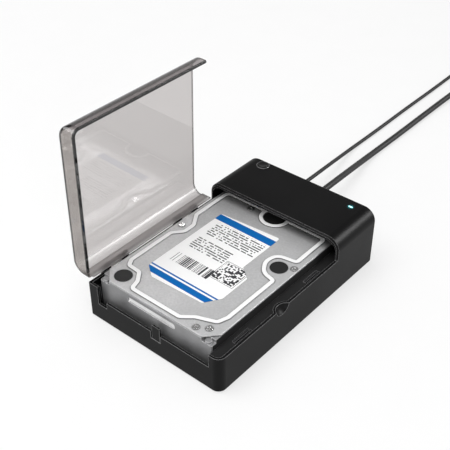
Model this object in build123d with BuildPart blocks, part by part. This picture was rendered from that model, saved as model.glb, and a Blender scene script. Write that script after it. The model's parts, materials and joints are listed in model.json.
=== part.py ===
from build123d import *
import os
from math import ceil, cos, pi, radians, sin, tan

os.makedirs("parts", exist_ok=True)

# The docked drive, a standard 3.5 inch one, in millimetres. The dock is sized round it
drive_width = 101.6
drive_length = 147.0
drive_height = 26.1
unplug_travel = 3.0       # how far it slides to come off the connector
slide_gap = 0.3           # air round it in the bay

# Driving sizes of the dock
left_room = 5.4           # from the drive to the case's left face
right_room = 11.4
electronics_room = 19.5   # behind the wall at the drive's rear end
drive_proud = 5.7         # the drive stands this far over the side walls
hood_over = 11.9          # from the drive's top to the hood's
foot_proud = 1.0          # the rubber feet hold the case this far off the table
hood_length = 48.6        # front to back
hood_round = 10.0         # the hood's two long top edges
hood_bevel = 1.3          # along its front edge
roof = 2.6
wall = 2.2
front_wall = 1.8
corner_round = 6.0        # front right corner, seen from above
edge_round = 0.9
overrun = 2.0             # how far a cut runs past the face it opens
fit = 0.2                 # between pieces that are assembled side by side
plate_thick = 2.0
floor_thick = 1.8
floor_room = 4.3          # between the bottom plate and the bay floor
bulkhead_thick = 2.0      # the wall at the drive's rear end

# The smoked cover, and how far it stands open at rest
cover_depth = 14.8
cover_wall = 2.0
cover_front_inset = 0.8   # behind the base's front face
cover_rear_gap = 3.4      # in front of the hood
cover_front_round = 3.0
open_angle = 89.2

# Places that follow from those sizes
front_room = cover_front_inset + cover_wall - front_wall + fit      # it slides clear of the shut cover
bay_length = unplug_travel + front_room + drive_length + slide_gap
base_width = left_room + drive_width + right_room
base_length = front_wall + bay_length + bulkhead_thick + electronics_room + wall
drive_offset = (left_room - right_room) / 2
half_width = base_width / 2
half_length = base_length / 2
inner_half = half_width - wall
front_inner = -half_length + front_wall
rear_inner = half_length - wall
hood_front = half_length - hood_length
plate_top = foot_proud + plate_thick
floor_low = plate_top + floor_room
floor_top = floor_low + floor_thick
drive_low = floor_top + slide_gap
drive_top = drive_low + drive_height
rim_height = drive_top - drive_proud
hood_height = drive_top + hood_over
roof_under = hood_height - roof
drive_left = drive_offset - drive_width / 2
drive_right = drive_offset + drive_width / 2
drive_front = front_inner + unplug_travel + front_room
drive_rear = drive_front + drive_length

# The hinge axis lies beside the left wall's upper edge, along Y
pin_inset = -1.0          # from the wall's outer face, inwards
cover_lift = 0.6          # the closed cover's edge, above the rim
stop_gap = 0.9            # the open cover's edge, off the wall's outer face
side_low = stop_gap + pin_inset
hinge_x = -half_width + pin_inset
hinge_z = rim_height + cover_lift - side_low
swing = radians(open_angle)
cover_round = hood_round
cover_top = side_low + cover_depth
reach_left = cover_round + (cover_top - cover_round) * sin(swing) - (cover_round - pin_inset) * cos(swing)

# The origin is under the middle of the part's outline, so the base stands off centre
mid_x = (half_width - hinge_x + reach_left) / 2 - half_width


def level(z):
    """A horizontal plane at a height."""
    return Plane(origin=(mid_x, 0, z))


def facing_front(y):
    """An upright plane across the dock. Extruding goes forward, to -Y."""
    return Plane(origin=(mid_x, y, 0), x_dir=(1, 0, 0), z_dir=(0, -1, 0))


def facing_right(x):
    """An upright plane along the dock. Extruding goes right, to +X."""
    return Plane(origin=(mid_x + x, 0, 0), x_dir=(0, 1, 0), z_dir=(1, 0, 0))


def swung(y):
    """The closed cover's cross plane, turned open, with the hinge axis as its origin."""
    origin = (mid_x + hinge_x, y, hinge_z)
    return Plane(origin=origin, x_dir=(cos(swing), 0, sin(swing)), z_dir=(0, -1, 0))


def span_box(x0, x1, y0, y1, z0, z1, mode=Mode.ADD):
    """A block between two corners, in the open part."""
    with BuildSketch(level(z0)) as face:
        with Locations(((x0 + x1) / 2, (y0 + y1) / 2)):
            Rectangle(x1 - x0, y1 - y0)
    extrude(face.sketch, amount=z1 - z0, mode=mode)


def upright(radius, x, y, z0, z1, mode=Mode.ADD):
    """A vertical cylinder in the open part."""
    with BuildSketch(level(z0)) as face:
        with Locations((x, y)):
            Circle(radius)
    extrude(face.sketch, amount=z1 - z0, mode=mode)


def along(radius, x, z, y0, y1, mode=Mode.ADD):
    """A cylinder along Y in the open part."""
    with BuildSketch(facing_front(y1)) as face:
        with Locations((x, z)):
            Circle(radius)
    extrude(face.sketch, amount=y1 - y0, mode=mode)


def save(piece, name):
    """Label a finished piece and write it."""
    piece.part.label = name
    export_step(piece.part, "parts/" + name + ".step")


# Hinges: two groups of three knuckles, the cover's own in the middle
knuckle_round = 1.75
knuckle_arm = 4.2         # the base's knuckles stand on ribs this far below the axis
knuckle_gap = 0.3
base_knuckle = 7.0
cover_knuckle = 10.0
front_hinge_back = 26.5   # its middle, behind the case's front
rear_hinge_fore = 27.9    # its middle, before the hood
hinge_places = (-half_length + front_hinge_back, hood_front - rear_hinge_fore)
hinge_step = (cover_knuckle + base_knuckle) / 2 + knuckle_gap
hinge_half = hinge_step + base_knuckle / 2
pin_radius = 0.75
pin_clearance = 0.05
pin_seat = 0.01

# Fastenings
screw_shank = 1.3
screw_hole = screw_shank + 0.05
screw_head = 2.4
screw_head_thick = 1.2
head_room = 0.15
boss_round = 3.2
thread_length = 3.4
case_boss_inset = 5.1
front_boss_back = 22.5
rear_boss_inset = 7.4
rear_boss_fore = 17.0
case_bosses = (
    (-half_width + case_boss_inset, -half_length + front_boss_back),
    (half_width - case_boss_inset, -half_length + front_boss_back),
    (-half_width + rear_boss_inset, half_length - rear_boss_fore),
    (half_width - rear_boss_inset, half_length - rear_boss_fore),
)
ledge_drop = 2.2
ledge_thick = 2.0
ledge_top = rim_height - ledge_drop
case_boss_tops = (floor_low - slide_gap, ledge_top - ledge_thick - fit, rim_height, rim_height)
tray_boss_shares = ((0.136, 0.153), (0.864, 0.153), (0.136, 0.901), (0.864, 0.901))
tray_bosses = tuple((drive_left + x_share * drive_width, drive_front + y_share * drive_length)
                    for x_share, y_share in tray_boss_shares)

# The boards' places behind the wall at the drive's rear end
bulkhead_front = drive_rear + slide_gap
bulkhead_rear = bulkhead_front + bulkhead_thick
board_gap = 0.5
board_left_room = 11.2    # from the case's sides
board_right_room = 19.2
board_left = -half_width + board_left_room
board_right = half_width - board_right_room
board_front = bulkhead_rear + board_gap
board_rear = rear_inner - board_gap
board_over = 1.1          # the board's underside, over the bay floor's
board_low = floor_low + board_over
board_thick = 1.6
board_top = board_low + board_thick
post_inset = 4.0
post_front = board_front + boss_round
post_back = board_rear - post_inset - boss_round / 2 - boss_round
chip_in = 23.0            # the main chip, from the board's right edge
chip_x = board_right - chip_in
middle_post = 7.0         # left of that chip
board_posts = (
    (board_left + post_inset, post_back),
    (chip_x - middle_post, post_front),
    (board_right - post_inset, post_back),
)
small_board_drop = 6.8    # under the roof
small_board_top = roof_under - small_board_drop

# Openings in the hood
window_lip = 3.1          # from the hood's top down to the window
hood_front_wall = 2.0
port_rise = 5.5           # both sockets' middle, above the main board
port_height = board_top + port_rise
usb_in = 10.4             # left of the dock's middle
usb_x = -usb_in
dc_aside = 18.0
dc_x = usb_x - dc_aside
usb_hole_width = 12.8
usb_hole_height = 11.4
dc_hole = 4.6
button_in = 17.7          # from the case's left side
button_x = -half_width + button_in
button_fore = 5.9
button_y = half_length - button_fore
button_hole = 4.4
button_relief = 1.2       # what is left of the rear wall behind the button
relief_half = 6.0
light_in = 17.3
light_x = half_width - light_in
light_fore = 8.3
light_y = half_length - light_fore
roof_post_aside = 15.7    # in from the button and the light
roof_post_fore = 8.5
roof_post_round = 2.8
roof_posts = (
    (button_x + roof_post_aside, half_length - roof_post_fore),
    (light_x - roof_post_aside, half_length - roof_post_fore),
)
light_length = 3.6
light_width = 1.4
light_fit = 0.1

# The front edge: a post at the left, a notch, a catch tab and the right corner
post_width = 8.6
notch_width = 8.1
post_right = -half_width + post_width
notch_right = post_right + notch_width
notch_drop = 15.3         # all of these are below the rim
front_drop = 10.3
tab_drop = 4.3
tab_root_drop = 16.3
rise_width = 9.3
rise_left = half_width - rise_width
tab_x = 3.7
tab_width = 7.0
tab_slot = 0.9

# The finger scoop in the right wall
scoop_round = 8.0
scoop_out = 3.6           # the ball's middle, outside the wall's face
scoop_back = 65.0         # its middle, behind the case's front
scoop_y = -half_length + scoop_back
scoop_rise = 1.65         # the ball's middle, above the rim
scoop_skin = 1.6
scoop_patch = 9.4         # height of the thicker patch round it

# Outer shell: four walls and the hood, open below
bay_round = corner_round - wall
with BuildPart() as outer_shell:
    with BuildSketch(level(foot_proud)) as footprint:
        Rectangle(base_width, base_length)
        fillet(footprint.vertices().group_by(Axis.Y)[0].sort_by(Axis.X)[-1], corner_round)
        fillet(footprint.vertices().sort_by(Axis.X).group_by(Axis.X)[0].sort_by(Axis.Y)[0], edge_round)
    extrude(amount=rim_height - foot_proud)
    with BuildSketch(facing_front(half_length)) as hood_profile:
        with Locations((0, (hood_height + foot_proud) / 2)):
            Rectangle(base_width, hood_height - foot_proud)
        fillet(hood_profile.vertices().group_by(Axis.Y)[-1], hood_round)
    extrude(amount=hood_length)
    fillet(outer_shell.faces().sort_by(Axis.Y)[-1].edges().sort_by(Axis.Z)[1:], edge_round)
    hood_face = outer_shell.faces().filter_by(Axis.Y).group_by(Axis.Y)[1]
    chamfer(hood_face.edges().sort_by(Axis.Z)[1:], hood_bevel)
    with BuildSketch(level(foot_proud - overrun)) as bay_print:
        with Locations((0, (front_inner + rear_inner) / 2)):
            Rectangle(2 * inner_half, rear_inner - front_inner)
        fillet(bay_print.vertices().group_by(Axis.Y)[0].sort_by(Axis.X)[-1], bay_round)
    extrude(amount=rim_height - foot_proud + overrun, mode=Mode.SUBTRACT)
    # the hood's cavity and its mouth over the drive
    with BuildSketch(facing_front(rear_inner)) as cavity:
        with Locations((0, (roof_under + rim_height - edge_round) / 2)):
            Rectangle(2 * inner_half, roof_under - rim_height + edge_round)
        fillet(cavity.vertices().group_by(Axis.Y)[-1], hood_round - wall)
    extrude(amount=rear_inner - hood_front - hood_front_wall, mode=Mode.SUBTRACT)
    with BuildSketch(facing_front(hood_front + hood_front_wall + overrun)) as mouth:
        with Locations((0, (hood_height - window_lip + rim_height - edge_round) / 2)):
            Rectangle(2 * inner_half, hood_height - window_lip - rim_height + edge_round)
        fillet(mouth.vertices().group_by(Axis.Y)[-1], hood_round - wall)
    extrude(amount=hood_front_wall + 2 * overrun, mode=Mode.SUBTRACT)
    # the thicker patch behind the scoop, then the scoop itself
    with BuildSketch(level(rim_height - scoop_patch)):
        with Locations((half_width + scoop_out, scoop_y)):
            Circle(scoop_round + scoop_skin)
        with Locations((half_width - wall / 2 + scoop_round + scoop_out, scoop_y)):
            Rectangle(2 * (scoop_round + scoop_out), 4 * scoop_round, mode=Mode.SUBTRACT)
    extrude(amount=scoop_patch)
    with Locations((mid_x + half_width + scoop_out, scoop_y, rim_height + scoop_rise)):
        Sphere(scoop_round, mode=Mode.SUBTRACT)
    # the low front wall between the post and the right corner
    span_box(post_right, rise_left, -half_length - overrun, front_inner + wall,
             rim_height - front_drop, rim_height + overrun, mode=Mode.SUBTRACT)
    span_box(post_right, notch_right, -half_length - overrun, front_inner + wall,
             rim_height - notch_drop, rim_height, mode=Mode.SUBTRACT)
    tab_left = tab_x - tab_width / 2
    tab_right = tab_x + tab_width / 2
    span_box(tab_left - tab_slot, tab_right + tab_slot, -half_length - overrun, front_inner + overrun,
             rim_height - tab_root_drop, rim_height, mode=Mode.SUBTRACT)
    span_box(tab_left, tab_right, -half_length + edge_round / 3, front_inner,
             rim_height - tab_root_drop - overrun, rim_height - tab_drop)
    # bosses for the case screws, and posts under the roof for the small board
    for (boss_x, boss_y), boss_top in zip(case_bosses, case_boss_tops):
        upright(boss_round, boss_x, boss_y, plate_top, boss_top)
        rib_end = inner_half if boss_x > 0 else -inner_half
        span_box(min(boss_x, rib_end), max(boss_x, rib_end), boss_y - boss_round / 2,
                 boss_y + boss_round / 2, plate_top, boss_top)
        upright(screw_hole, boss_x, boss_y, plate_top - overrun / 2, plate_top + thread_length + head_room,
                mode=Mode.SUBTRACT)
    for post_x, post_y in roof_posts:
        upright(roof_post_round, post_x, post_y, small_board_top, roof_under + roof / 2)
        upright(screw_hole, post_x, post_y, small_board_top - overrun,
                small_board_top + thread_length + head_room, mode=Mode.SUBTRACT)
    # holes for the sockets, the button and the light
    with BuildSketch(facing_front(half_length + overrun)):
        with Locations((usb_x, port_height)):
            RectangleRounded(usb_hole_width, usb_hole_height, edge_round)
        with Locations((dc_x, port_height)):
            Circle(dc_hole)
    extrude(amount=wall + 2 * overrun, mode=Mode.SUBTRACT)
    span_box(button_x - relief_half, button_x + relief_half, rear_inner - overrun, half_length - button_relief,
             small_board_top, roof_under, mode=Mode.SUBTRACT)
    upright(button_hole, button_x, button_y, roof_under - overrun, hood_height + overrun, mode=Mode.SUBTRACT)
    with BuildSketch(level(roof_under - overrun)):
        with Locations((light_x, light_y)):
            SlotOverall(light_length + 2 * light_fit, light_width + 2 * light_fit)
    extrude(amount=roof + 2 * overrun, mode=Mode.SUBTRACT)
    # hinge knuckles, with room cut for the cover's own
    for hinge_y in hinge_places:
        for middle in (hinge_y - hinge_step, hinge_y + hinge_step):
            span_box(hinge_x - knuckle_round, -half_width + wall / 2, middle - base_knuckle / 2,
                     middle + base_knuckle / 2, hinge_z - knuckle_arm, rim_height)
            along(knuckle_round, hinge_x, hinge_z, middle - base_knuckle / 2, middle + base_knuckle / 2)
        reach = cover_knuckle / 2 + knuckle_gap
        along(knuckle_round + knuckle_gap, hinge_x, hinge_z, hinge_y - reach, hinge_y + reach,
              mode=Mode.SUBTRACT)
        along(pin_radius + pin_seat, hinge_x, hinge_z, hinge_y - hinge_half, hinge_y + hinge_half,
              mode=Mode.SUBTRACT)
save(outer_shell, "outer_shell")

with BuildPart() as hinge_pins:
    for hinge_y in hinge_places:
        along(pin_radius, hinge_x, hinge_z, hinge_y - hinge_half, hinge_y + hinge_half)
save(hinge_pins, "hinge_pins")

# Bay tray: the floor under the drive, the right hand ledge and the wall before the electronics
tray_half = inner_half - fit
tray_wall = 2.0
rail_drop = 3.6           # the left rail, below the ledge
rail_top = ledge_top - rail_drop
rail_back = 4.2
bulkhead_rise = 1.5       # above the drive
latch_in = 6.0            # the latch slots, inside the case's right side
latch_places = (-half_length + 29.2, hood_front - 22.7)
latch_length = 15.5
latch_width = 3.2
catch_half = 0.9
catch_gap = 0.8
catch_rise = 0.4
connector_in = 12.0       # the drive's connector, left of the drive's middle
connector_rise = 3.5      # its tongues, above the drive's underside
connector_x = drive_offset - connector_in
connector_z = drive_low + connector_rise
nose_window_width = 43.0
nose_window_height = 7.6
groove_depth = 1.0
groove_width = 6.0
groove_pitch = 18.0
groove_end = 13.5
with BuildPart() as bay_tray:
    wall_left = drive_right + slide_gap
    tray_right = wall_left + tray_wall
    span_box(-tray_half, tray_right, front_inner + fit, bulkhead_rear, floor_low, floor_top)
    span_box(wall_left, tray_right, front_inner + fit, bulkhead_rear, floor_low, ledge_top)
    span_box(-tray_half, drive_left - slide_gap, front_inner + rail_back, bulkhead_rear, floor_low, rail_top)
    span_box(-tray_half, tray_half, bulkhead_front, bulkhead_rear, floor_low, drive_top + bulkhead_rise)
    with BuildSketch(level(ledge_top - ledge_thick)) as ledge:
        with Locations(((wall_left + tray_half) / 2, (front_inner + fit + bulkhead_rear) / 2)):
            Rectangle(tray_half - wall_left, bulkhead_rear - front_inner - fit)
        fillet(ledge.vertices().group_by(Axis.Y)[0].sort_by(Axis.X)[-1], bay_round)
        with Locations((half_width + scoop_out, scoop_y)):
            Circle(scoop_round + scoop_skin + fit, mode=Mode.SUBTRACT)
        with Locations([(half_width - latch_in, latch_y) for latch_y in latch_places]):
            Rectangle(latch_width, latch_length, mode=Mode.SUBTRACT)
    extrude(amount=ledge_thick)
    # a springy tongue in each slot catches the closed cover
    for latch_y in latch_places:
        span_box(half_width - latch_in - catch_half, half_width - latch_in + catch_half,
                 latch_y - latch_length / 2 - catch_gap, latch_y + latch_length / 2 - catch_gap,
                 ledge_top - ledge_thick, ledge_top + catch_rise)
    with BuildSketch(facing_front(bulkhead_rear + overrun)):
        with Locations((connector_x, connector_z)):
            Rectangle(nose_window_width, nose_window_height)
    extrude(amount=bulkhead_thick + 2 * overrun, mode=Mode.SUBTRACT)
    for boss_x, boss_y in tray_bosses:
        upright(boss_round, boss_x, boss_y, plate_top, floor_low)
        upright(screw_hole, boss_x, boss_y, plate_top - overrun, plate_top + thread_length + head_room,
                mode=Mode.SUBTRACT)
    # grooves along the floor let air under the drive
    with BuildSketch(level(floor_top - groove_depth)):
        with Locations((drive_offset, (drive_front + drive_rear) / 2)):
            with GridLocations(groove_pitch, 0, 5, 1):
                SlotOverall(drive_length - 2 * groove_end, groove_width, rotation=90)
    extrude(amount=groove_depth + overrun, mode=Mode.SUBTRACT)
save(bay_tray, "bay_tray")

# Bottom plate, inside the walls, with its feet and screws
plate_fit = 0.3
foot_round = 5.7
foot_inset = 6.3          # a foot's middle, inside the case's sides
foot_stem = 3.2
foot_recess = 0.8
foot_x = half_width - foot_inset
foot_y = half_length - foot_inset
feet = ((-foot_x, -foot_y), (foot_x, -foot_y), (-foot_x, foot_y), (foot_x, foot_y))
vent_slot = 1.8
vent_length = 22.0
vent_pitch = 6.0
vent_back = 20.0
with BuildPart() as bottom_plate:
    with BuildSketch(level(foot_proud)) as plate_print:
        with Locations((0, (front_inner + rear_inner) / 2)):
            Rectangle(2 * (inner_half - plate_fit), rear_inner - front_inner - 2 * plate_fit)
        fillet(plate_print.vertices().group_by(Axis.Y)[0].sort_by(Axis.X)[-1], bay_round)
        with Locations((0, vent_back)):
            with GridLocations(vent_pitch, 0, 9, 1):
                SlotOverall(vent_length, vent_slot, rotation=90, mode=Mode.SUBTRACT)
    extrude(amount=plate_thick)
    for place_x, place_y in feet:
        upright(foot_stem + head_room, place_x, place_y, foot_proud - overrun, foot_proud + foot_recess,
                mode=Mode.SUBTRACT)
    for post_x, post_y in board_posts:
        upright(boss_round, post_x, post_y, plate_top, board_low)
        upright(screw_hole, post_x, post_y, board_low - thread_length - head_room, board_low + overrun,
                mode=Mode.SUBTRACT)
    for screw_x, screw_y in case_bosses + tray_bosses:
        upright(screw_head + head_room, screw_x, screw_y, foot_proud - overrun,
                foot_proud + screw_head_thick, mode=Mode.SUBTRACT)
        upright(screw_hole + head_room, screw_x, screw_y, foot_proud, plate_top + overrun,
                mode=Mode.SUBTRACT)
save(bottom_plate, "bottom_plate")

with BuildPart() as rubber_feet:
    for place_x, place_y in feet:
        upright(foot_round, place_x, place_y, 0, foot_proud)
    fillet(rubber_feet.faces().group_by(Axis.Z)[0].edges(), foot_proud / 3)
    for place_x, place_y in feet:
        upright(foot_stem, place_x, place_y, foot_proud / 2, foot_proud + foot_recess)
save(rubber_feet, "rubber_feet")

cross_half = 1.5
cross_depth = 0.6
cross_width = 0.6


def cross_screws(places, face, under, tip, name):
    """Cross head screws on one level. The head runs from face to under, the shank on to tip."""
    with BuildPart() as screws:
        for screw_x, screw_y in places:
            upright(screw_head, screw_x, screw_y, min(face, under), max(face, under))
            upright(screw_shank, screw_x, screw_y, min(under, tip), max(under, tip))
            inside = face + cross_depth if under > face else face - cross_depth
            low, high = min(face, inside), max(face, inside)
            span_box(screw_x - cross_half, screw_x + cross_half, screw_y - cross_width / 2,
                     screw_y + cross_width / 2, low, high, mode=Mode.SUBTRACT)
            span_box(screw_x - cross_width / 2, screw_x + cross_width / 2, screw_y - cross_half,
                     screw_y + cross_half, low, high, mode=Mode.SUBTRACT)
    save(screws, name)


cross_screws(case_bosses, foot_proud, foot_proud + screw_head_thick, plate_top + thread_length, "case_screws")
cross_screws(tray_bosses, foot_proud, foot_proud + screw_head_thick, plate_top + thread_length, "tray_screws")

# Main board, with the drive's socket, the two cord sockets and its parts
with BuildPart() as circuit_board:
    span_box(board_left, board_right, board_front, board_rear, board_low, board_top)
    for post_x, post_y in board_posts:
        upright(screw_hole + head_room, post_x, post_y, board_low - overrun, board_top + overrun,
                mode=Mode.SUBTRACT)
save(circuit_board, "circuit_board")
cross_screws(board_posts, board_top + screw_head_thick, board_top, board_low - thread_length, "board_screws")

nose_width = 38.8
nose_height = 4.6
nose_reach = 3.3
cavity_clear = 0.3
tongue_thick = 1.2
tongue_reach = 2.4
data_tongue = 9.4
power_tongue = 19.6
tongue_gap = 3.0
data_x = connector_x - (power_tongue + tongue_gap) / 2
power_x = connector_x + (data_tongue + tongue_gap) / 2
tongues = ((data_x, data_tongue), (power_x, power_tongue))
socket_gap = 0.7
socket_front = drive_rear + socket_gap
socket_depth = 5.0
socket_back = socket_front + socket_depth
socket_rise = 3.3
socket_half = nose_window_width / 2 - 3 * cavity_clear
with BuildPart() as sata_receptacle:
    span_box(connector_x - socket_half, connector_x + socket_half, socket_front, socket_back,
             board_top, connector_z + socket_rise)
    span_box(connector_x - nose_width / 2, connector_x + nose_width / 2, socket_front - nose_reach,
             socket_front, connector_z - nose_height / 2, connector_z + nose_height / 2)
    for slot_x, slot_width in tongues:
        half_slot = slot_width / 2 + cavity_clear
        half_high = tongue_thick / 2 + cavity_clear
        span_box(slot_x - half_slot, slot_x + half_slot, socket_front - nose_reach - overrun,
                 socket_front + cavity_clear, connector_z - half_high, connector_z + half_high,
                 mode=Mode.SUBTRACT)
save(sata_receptacle, "sata_receptacle")

contact_pitch = 1.27
contact_width = 0.6
contact_thick = 0.3
contact_foot = 1.0
with BuildPart() as sata_contacts:
    for row_x, count in ((data_x, 7), (power_x, 15)):
        with BuildSketch(level(board_top)):
            with Locations((row_x, socket_back + contact_foot / 2)):
                with GridLocations(contact_pitch, 0, count, 1):
                    Rectangle(contact_width, contact_foot)
        extrude(amount=contact_thick)
        with BuildSketch(level(board_top + contact_thick)):
            with Locations((row_x, socket_back + contact_thick / 2)):
                with GridLocations(contact_pitch, 0, count, 1):
                    Rectangle(contact_width, contact_thick)
        extrude(amount=connector_z - board_top)
save(sata_contacts, "sata_contacts")

# Square data socket: a folded steel shell round a plastic block and tongue
usb_width = 12.2
usb_skin = 0.4
usb_inset = 0.3
usb_mouth = half_length - usb_inset
usb_depth = 16.4
usb_back = usb_mouth - usb_depth
usb_tongue_width = 6.0
usb_tongue_high = 4.0
usb_tongue_inset = 1.6
usb_block = 2.6
usb_high = 2 * port_height - board_top
insert_fit = 0.05
with BuildPart() as usb_port:
    span_box(usb_x - usb_width / 2, usb_x + usb_width / 2, usb_back, usb_mouth, board_top, usb_high)
    span_box(usb_x - usb_width / 2 + usb_skin, usb_x + usb_width / 2 - usb_skin, usb_back + usb_skin,
             usb_mouth + overrun, board_top + usb_skin, usb_high - usb_skin, mode=Mode.SUBTRACT)
save(usb_port, "usb_port")
insert_half = usb_width / 2 - usb_skin - insert_fit
insert_front = usb_back + usb_skin + insert_fit
insert_back = insert_front + usb_block
with BuildPart() as usb_port_insert:
    span_box(usb_x - insert_half, usb_x + insert_half, insert_front, insert_back,
             board_top + usb_skin + insert_fit, usb_high - usb_skin - insert_fit)
    span_box(usb_x - usb_tongue_width / 2, usb_x + usb_tongue_width / 2, insert_back,
             usb_mouth - usb_tongue_inset, port_height - usb_tongue_high / 2, port_height + usb_tongue_high / 2)
save(usb_port_insert, "usb_port_insert")

# Barrel socket for the supply, with its pin
dc_width = 9.0
dc_depth = 12.8
dc_collar = 4.3
dc_bore = 3.0
dc_bore_depth = 9.6
dc_pin = 1.0
dc_pin_inset = 1.2
dc_face = rear_inner - usb_inset
with BuildPart() as dc_jack:
    span_box(dc_x - dc_width / 2, dc_x + dc_width / 2, dc_face - dc_depth, dc_face, board_top, usb_high)
    along(dc_collar, dc_x, port_height, dc_face, usb_mouth)
    along(dc_bore, dc_x, port_height, usb_mouth - dc_bore_depth, usb_mouth + overrun, mode=Mode.SUBTRACT)
save(dc_jack, "dc_jack")
with BuildPart() as dc_jack_pin:
    along(dc_pin, dc_x, port_height, usb_mouth - dc_bore_depth, usb_mouth - dc_pin_inset)
    fillet(dc_jack_pin.faces().sort_by(Axis.Y)[-1].edges(), dc_pin / 2)
save(dc_jack_pin, "dc_jack_pin")

# Parts on the main board
chip_behind = 10.2        # behind the wall before the electronics
chip_y = bulkhead_rear + chip_behind
chip_half = 4.6
chip_thick = 1.2
chip_stand = 0.15
with BuildPart() as controller_chip:
    span_box(chip_x - chip_half, chip_x + chip_half, chip_y - chip_half, chip_y + chip_half,
             board_top + chip_stand, board_top + chip_stand + chip_thick)
    chamfer(controller_chip.faces().sort_by(Axis.Z)[-1].edges(), chip_stand)
save(controller_chip, "controller_chip")
leg_pitch = 0.9
leg_width = 0.35
leg_reach = 1.1
with BuildPart() as chip_legs:
    with BuildSketch(level(board_top)):
        for turn in (0, 90):
            with Locations(Location((chip_x, chip_y, 0), (0, 0, turn))):
                with GridLocations(2 * chip_half + leg_reach, leg_pitch, 2, 9):
                    Rectangle(leg_reach, leg_width)
    extrude(amount=chip_stand * 2)
save(chip_legs, "chip_legs")

can_round = 3.1
can_height = 8.0
can_bead = 0.4
can_in = 11.6
can_x = board_right - can_in
cans = ((can_x, board_front + can_round + 2 * fit), (can_x, board_rear - can_round - 4 * fit))
with BuildPart() as capacitors:
    for place_x, place_y in cans:
        upright(can_round, place_x, place_y, board_top, board_top + can_height)
        with BuildSketch(level(board_top + 2 * can_bead)):
            with Locations((place_x, place_y)):
                Circle(can_round + can_bead)
                Circle(can_round - can_bead, mode=Mode.SUBTRACT)
        extrude(amount=can_bead * 2, mode=Mode.SUBTRACT)
    fillet(capacitors.faces().group_by(Axis.Z)[-1].edges(), can_bead)
save(capacitors, "capacitors")

choke_in = 10.7
choke_x = board_left + choke_in
choke_side = 7.0
choke_height = 3.6
with BuildPart() as inductor:
    span_box(choke_x - choke_side / 2, choke_x + choke_side / 2, chip_y, chip_y + choke_side,
             board_top, board_top + choke_height)
    fillet(inductor.edges().filter_by(Axis.Z), edge_round)
    chamfer(inductor.faces().sort_by(Axis.Z)[-1].edges(), edge_round / 2)
save(inductor, "inductor")

crystal_length = 10.4
crystal_width = 4.2
crystal_height = 3.4
crystal_in = 10.8
with BuildPart() as crystal:
    with BuildSketch(level(board_top)):
        with Locations((chip_x - crystal_in, chip_y)):
            SlotOverall(crystal_length, crystal_width, rotation=90)
    extrude(amount=crystal_height)
    fillet(crystal.faces().sort_by(Axis.Z)[-1].edges(), edge_round / 2)
save(crystal, "crystal")

# Small board under the roof: switch at the left, light at the right
small_side = 5.5
small_reach = 11.8
small_rear = rear_inner - plate_fit
small_low = small_board_top - board_thick
with BuildPart() as switch_board:
    span_box(button_x - small_side, light_x + small_side, small_rear - small_reach, small_rear,
             small_low, small_board_top)
    for post_x, post_y in roof_posts:
        upright(screw_hole + head_room, post_x, post_y, small_low - overrun, small_board_top + overrun,
                mode=Mode.SUBTRACT)
save(switch_board, "switch_board")
cross_screws(roof_posts, small_low - screw_head_thick, small_low, small_board_top + thread_length, "roof_screws")

riser_aside = 16.4        # right of the data socket
riser_x = usb_x + riser_aside
riser_width = 12.0
riser_thick = 1.0
with BuildPart() as riser_board:
    span_box(riser_x - riser_width / 2, riser_x + riser_width / 2, board_rear - 2 * riser_thick,
             board_rear - riser_thick, board_top, small_low)
save(riser_board, "riser_board")

# Power switch and the button over it, which travels down
button_travel = 1.0
button_clear = 0.2
button_round = button_hole - button_clear
button_proud = 0.9
switch_half = 3.3
switch_height = 4.4
flange_thick = 0.9
flange_gap = 0.3
flange_half = 5.6
flange_width = 5.0
plunger_round = 1.55
plunger_fit = 0.1
switch_top = small_board_top + switch_height
flange_high = roof_under - flange_gap
flange_low = flange_high - flange_thick
plunger_low = switch_top - button_travel - plunger_fit
with BuildPart() as power_switch:
    span_box(button_x - switch_half, button_x + switch_half, button_y - switch_half, button_y + switch_half,
             small_board_top, switch_top)
    chamfer(power_switch.faces().sort_by(Axis.Z)[-1].edges(), flange_gap)
    upright(plunger_round + plunger_fit, button_x, button_y, plunger_low - button_travel - flange_gap,
            switch_top + overrun, mode=Mode.SUBTRACT)
save(power_switch, "power_switch")
with BuildPart() as switch_plunger:
    upright(plunger_round, button_x, button_y, plunger_low, flange_low)
save(switch_plunger, "switch_plunger")
dish_round = 18.0
dish_depth = 0.35
with BuildPart() as power_button:
    upright(button_round, button_x, button_y, flange_low, hood_height + button_proud)
    fillet(power_button.faces().sort_by(Axis.Z)[-1].edges(), edge_round / 2)
    span_box(button_x - flange_half, button_x + flange_half, button_y - flange_width / 2,
             button_y + flange_width / 2, flange_low, flange_high)
    with Locations((mid_x + button_x, button_y, hood_height + button_proud + dish_round - dish_depth)):
        Sphere(dish_round, mode=Mode.SUBTRACT)
save(power_button, "power_button")

led_length = 3.2
led_width = 2.4
led_height = 1.9
with BuildPart() as status_led:
    span_box(light_x - led_length / 2, light_x + led_length / 2, light_y - led_width / 2, light_y + led_width / 2,
             small_board_top, small_board_top + led_height)
save(status_led, "status_led")
with BuildPart() as light_pipe:
    pipe_low = small_board_top + led_height + flange_gap
    with BuildSketch(level(pipe_low)):
        with Locations((light_x, light_y)):
            SlotOverall(light_length, light_width)
    extrude(amount=hood_height - pipe_low)
save(light_pipe, "light_pipe")

# Cover: a smoked tray that hangs on the left wall, open towards the hood
cover_front = -half_length + cover_front_inset
cover_rear = hood_front - cover_rear_gap
cover_plan = Plane(origin=(mid_x + hinge_x, 0, hinge_z), x_dir=(cos(swing), 0, sin(swing)),
                   z_dir=(-sin(swing), 0, cos(swing)))
lip_inner = 3.4           # the lip's inner face and its drop, from the hinge axis
lip_drop = 4.0
lip_thick = 1.0
lip_rise = 4.2


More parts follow.
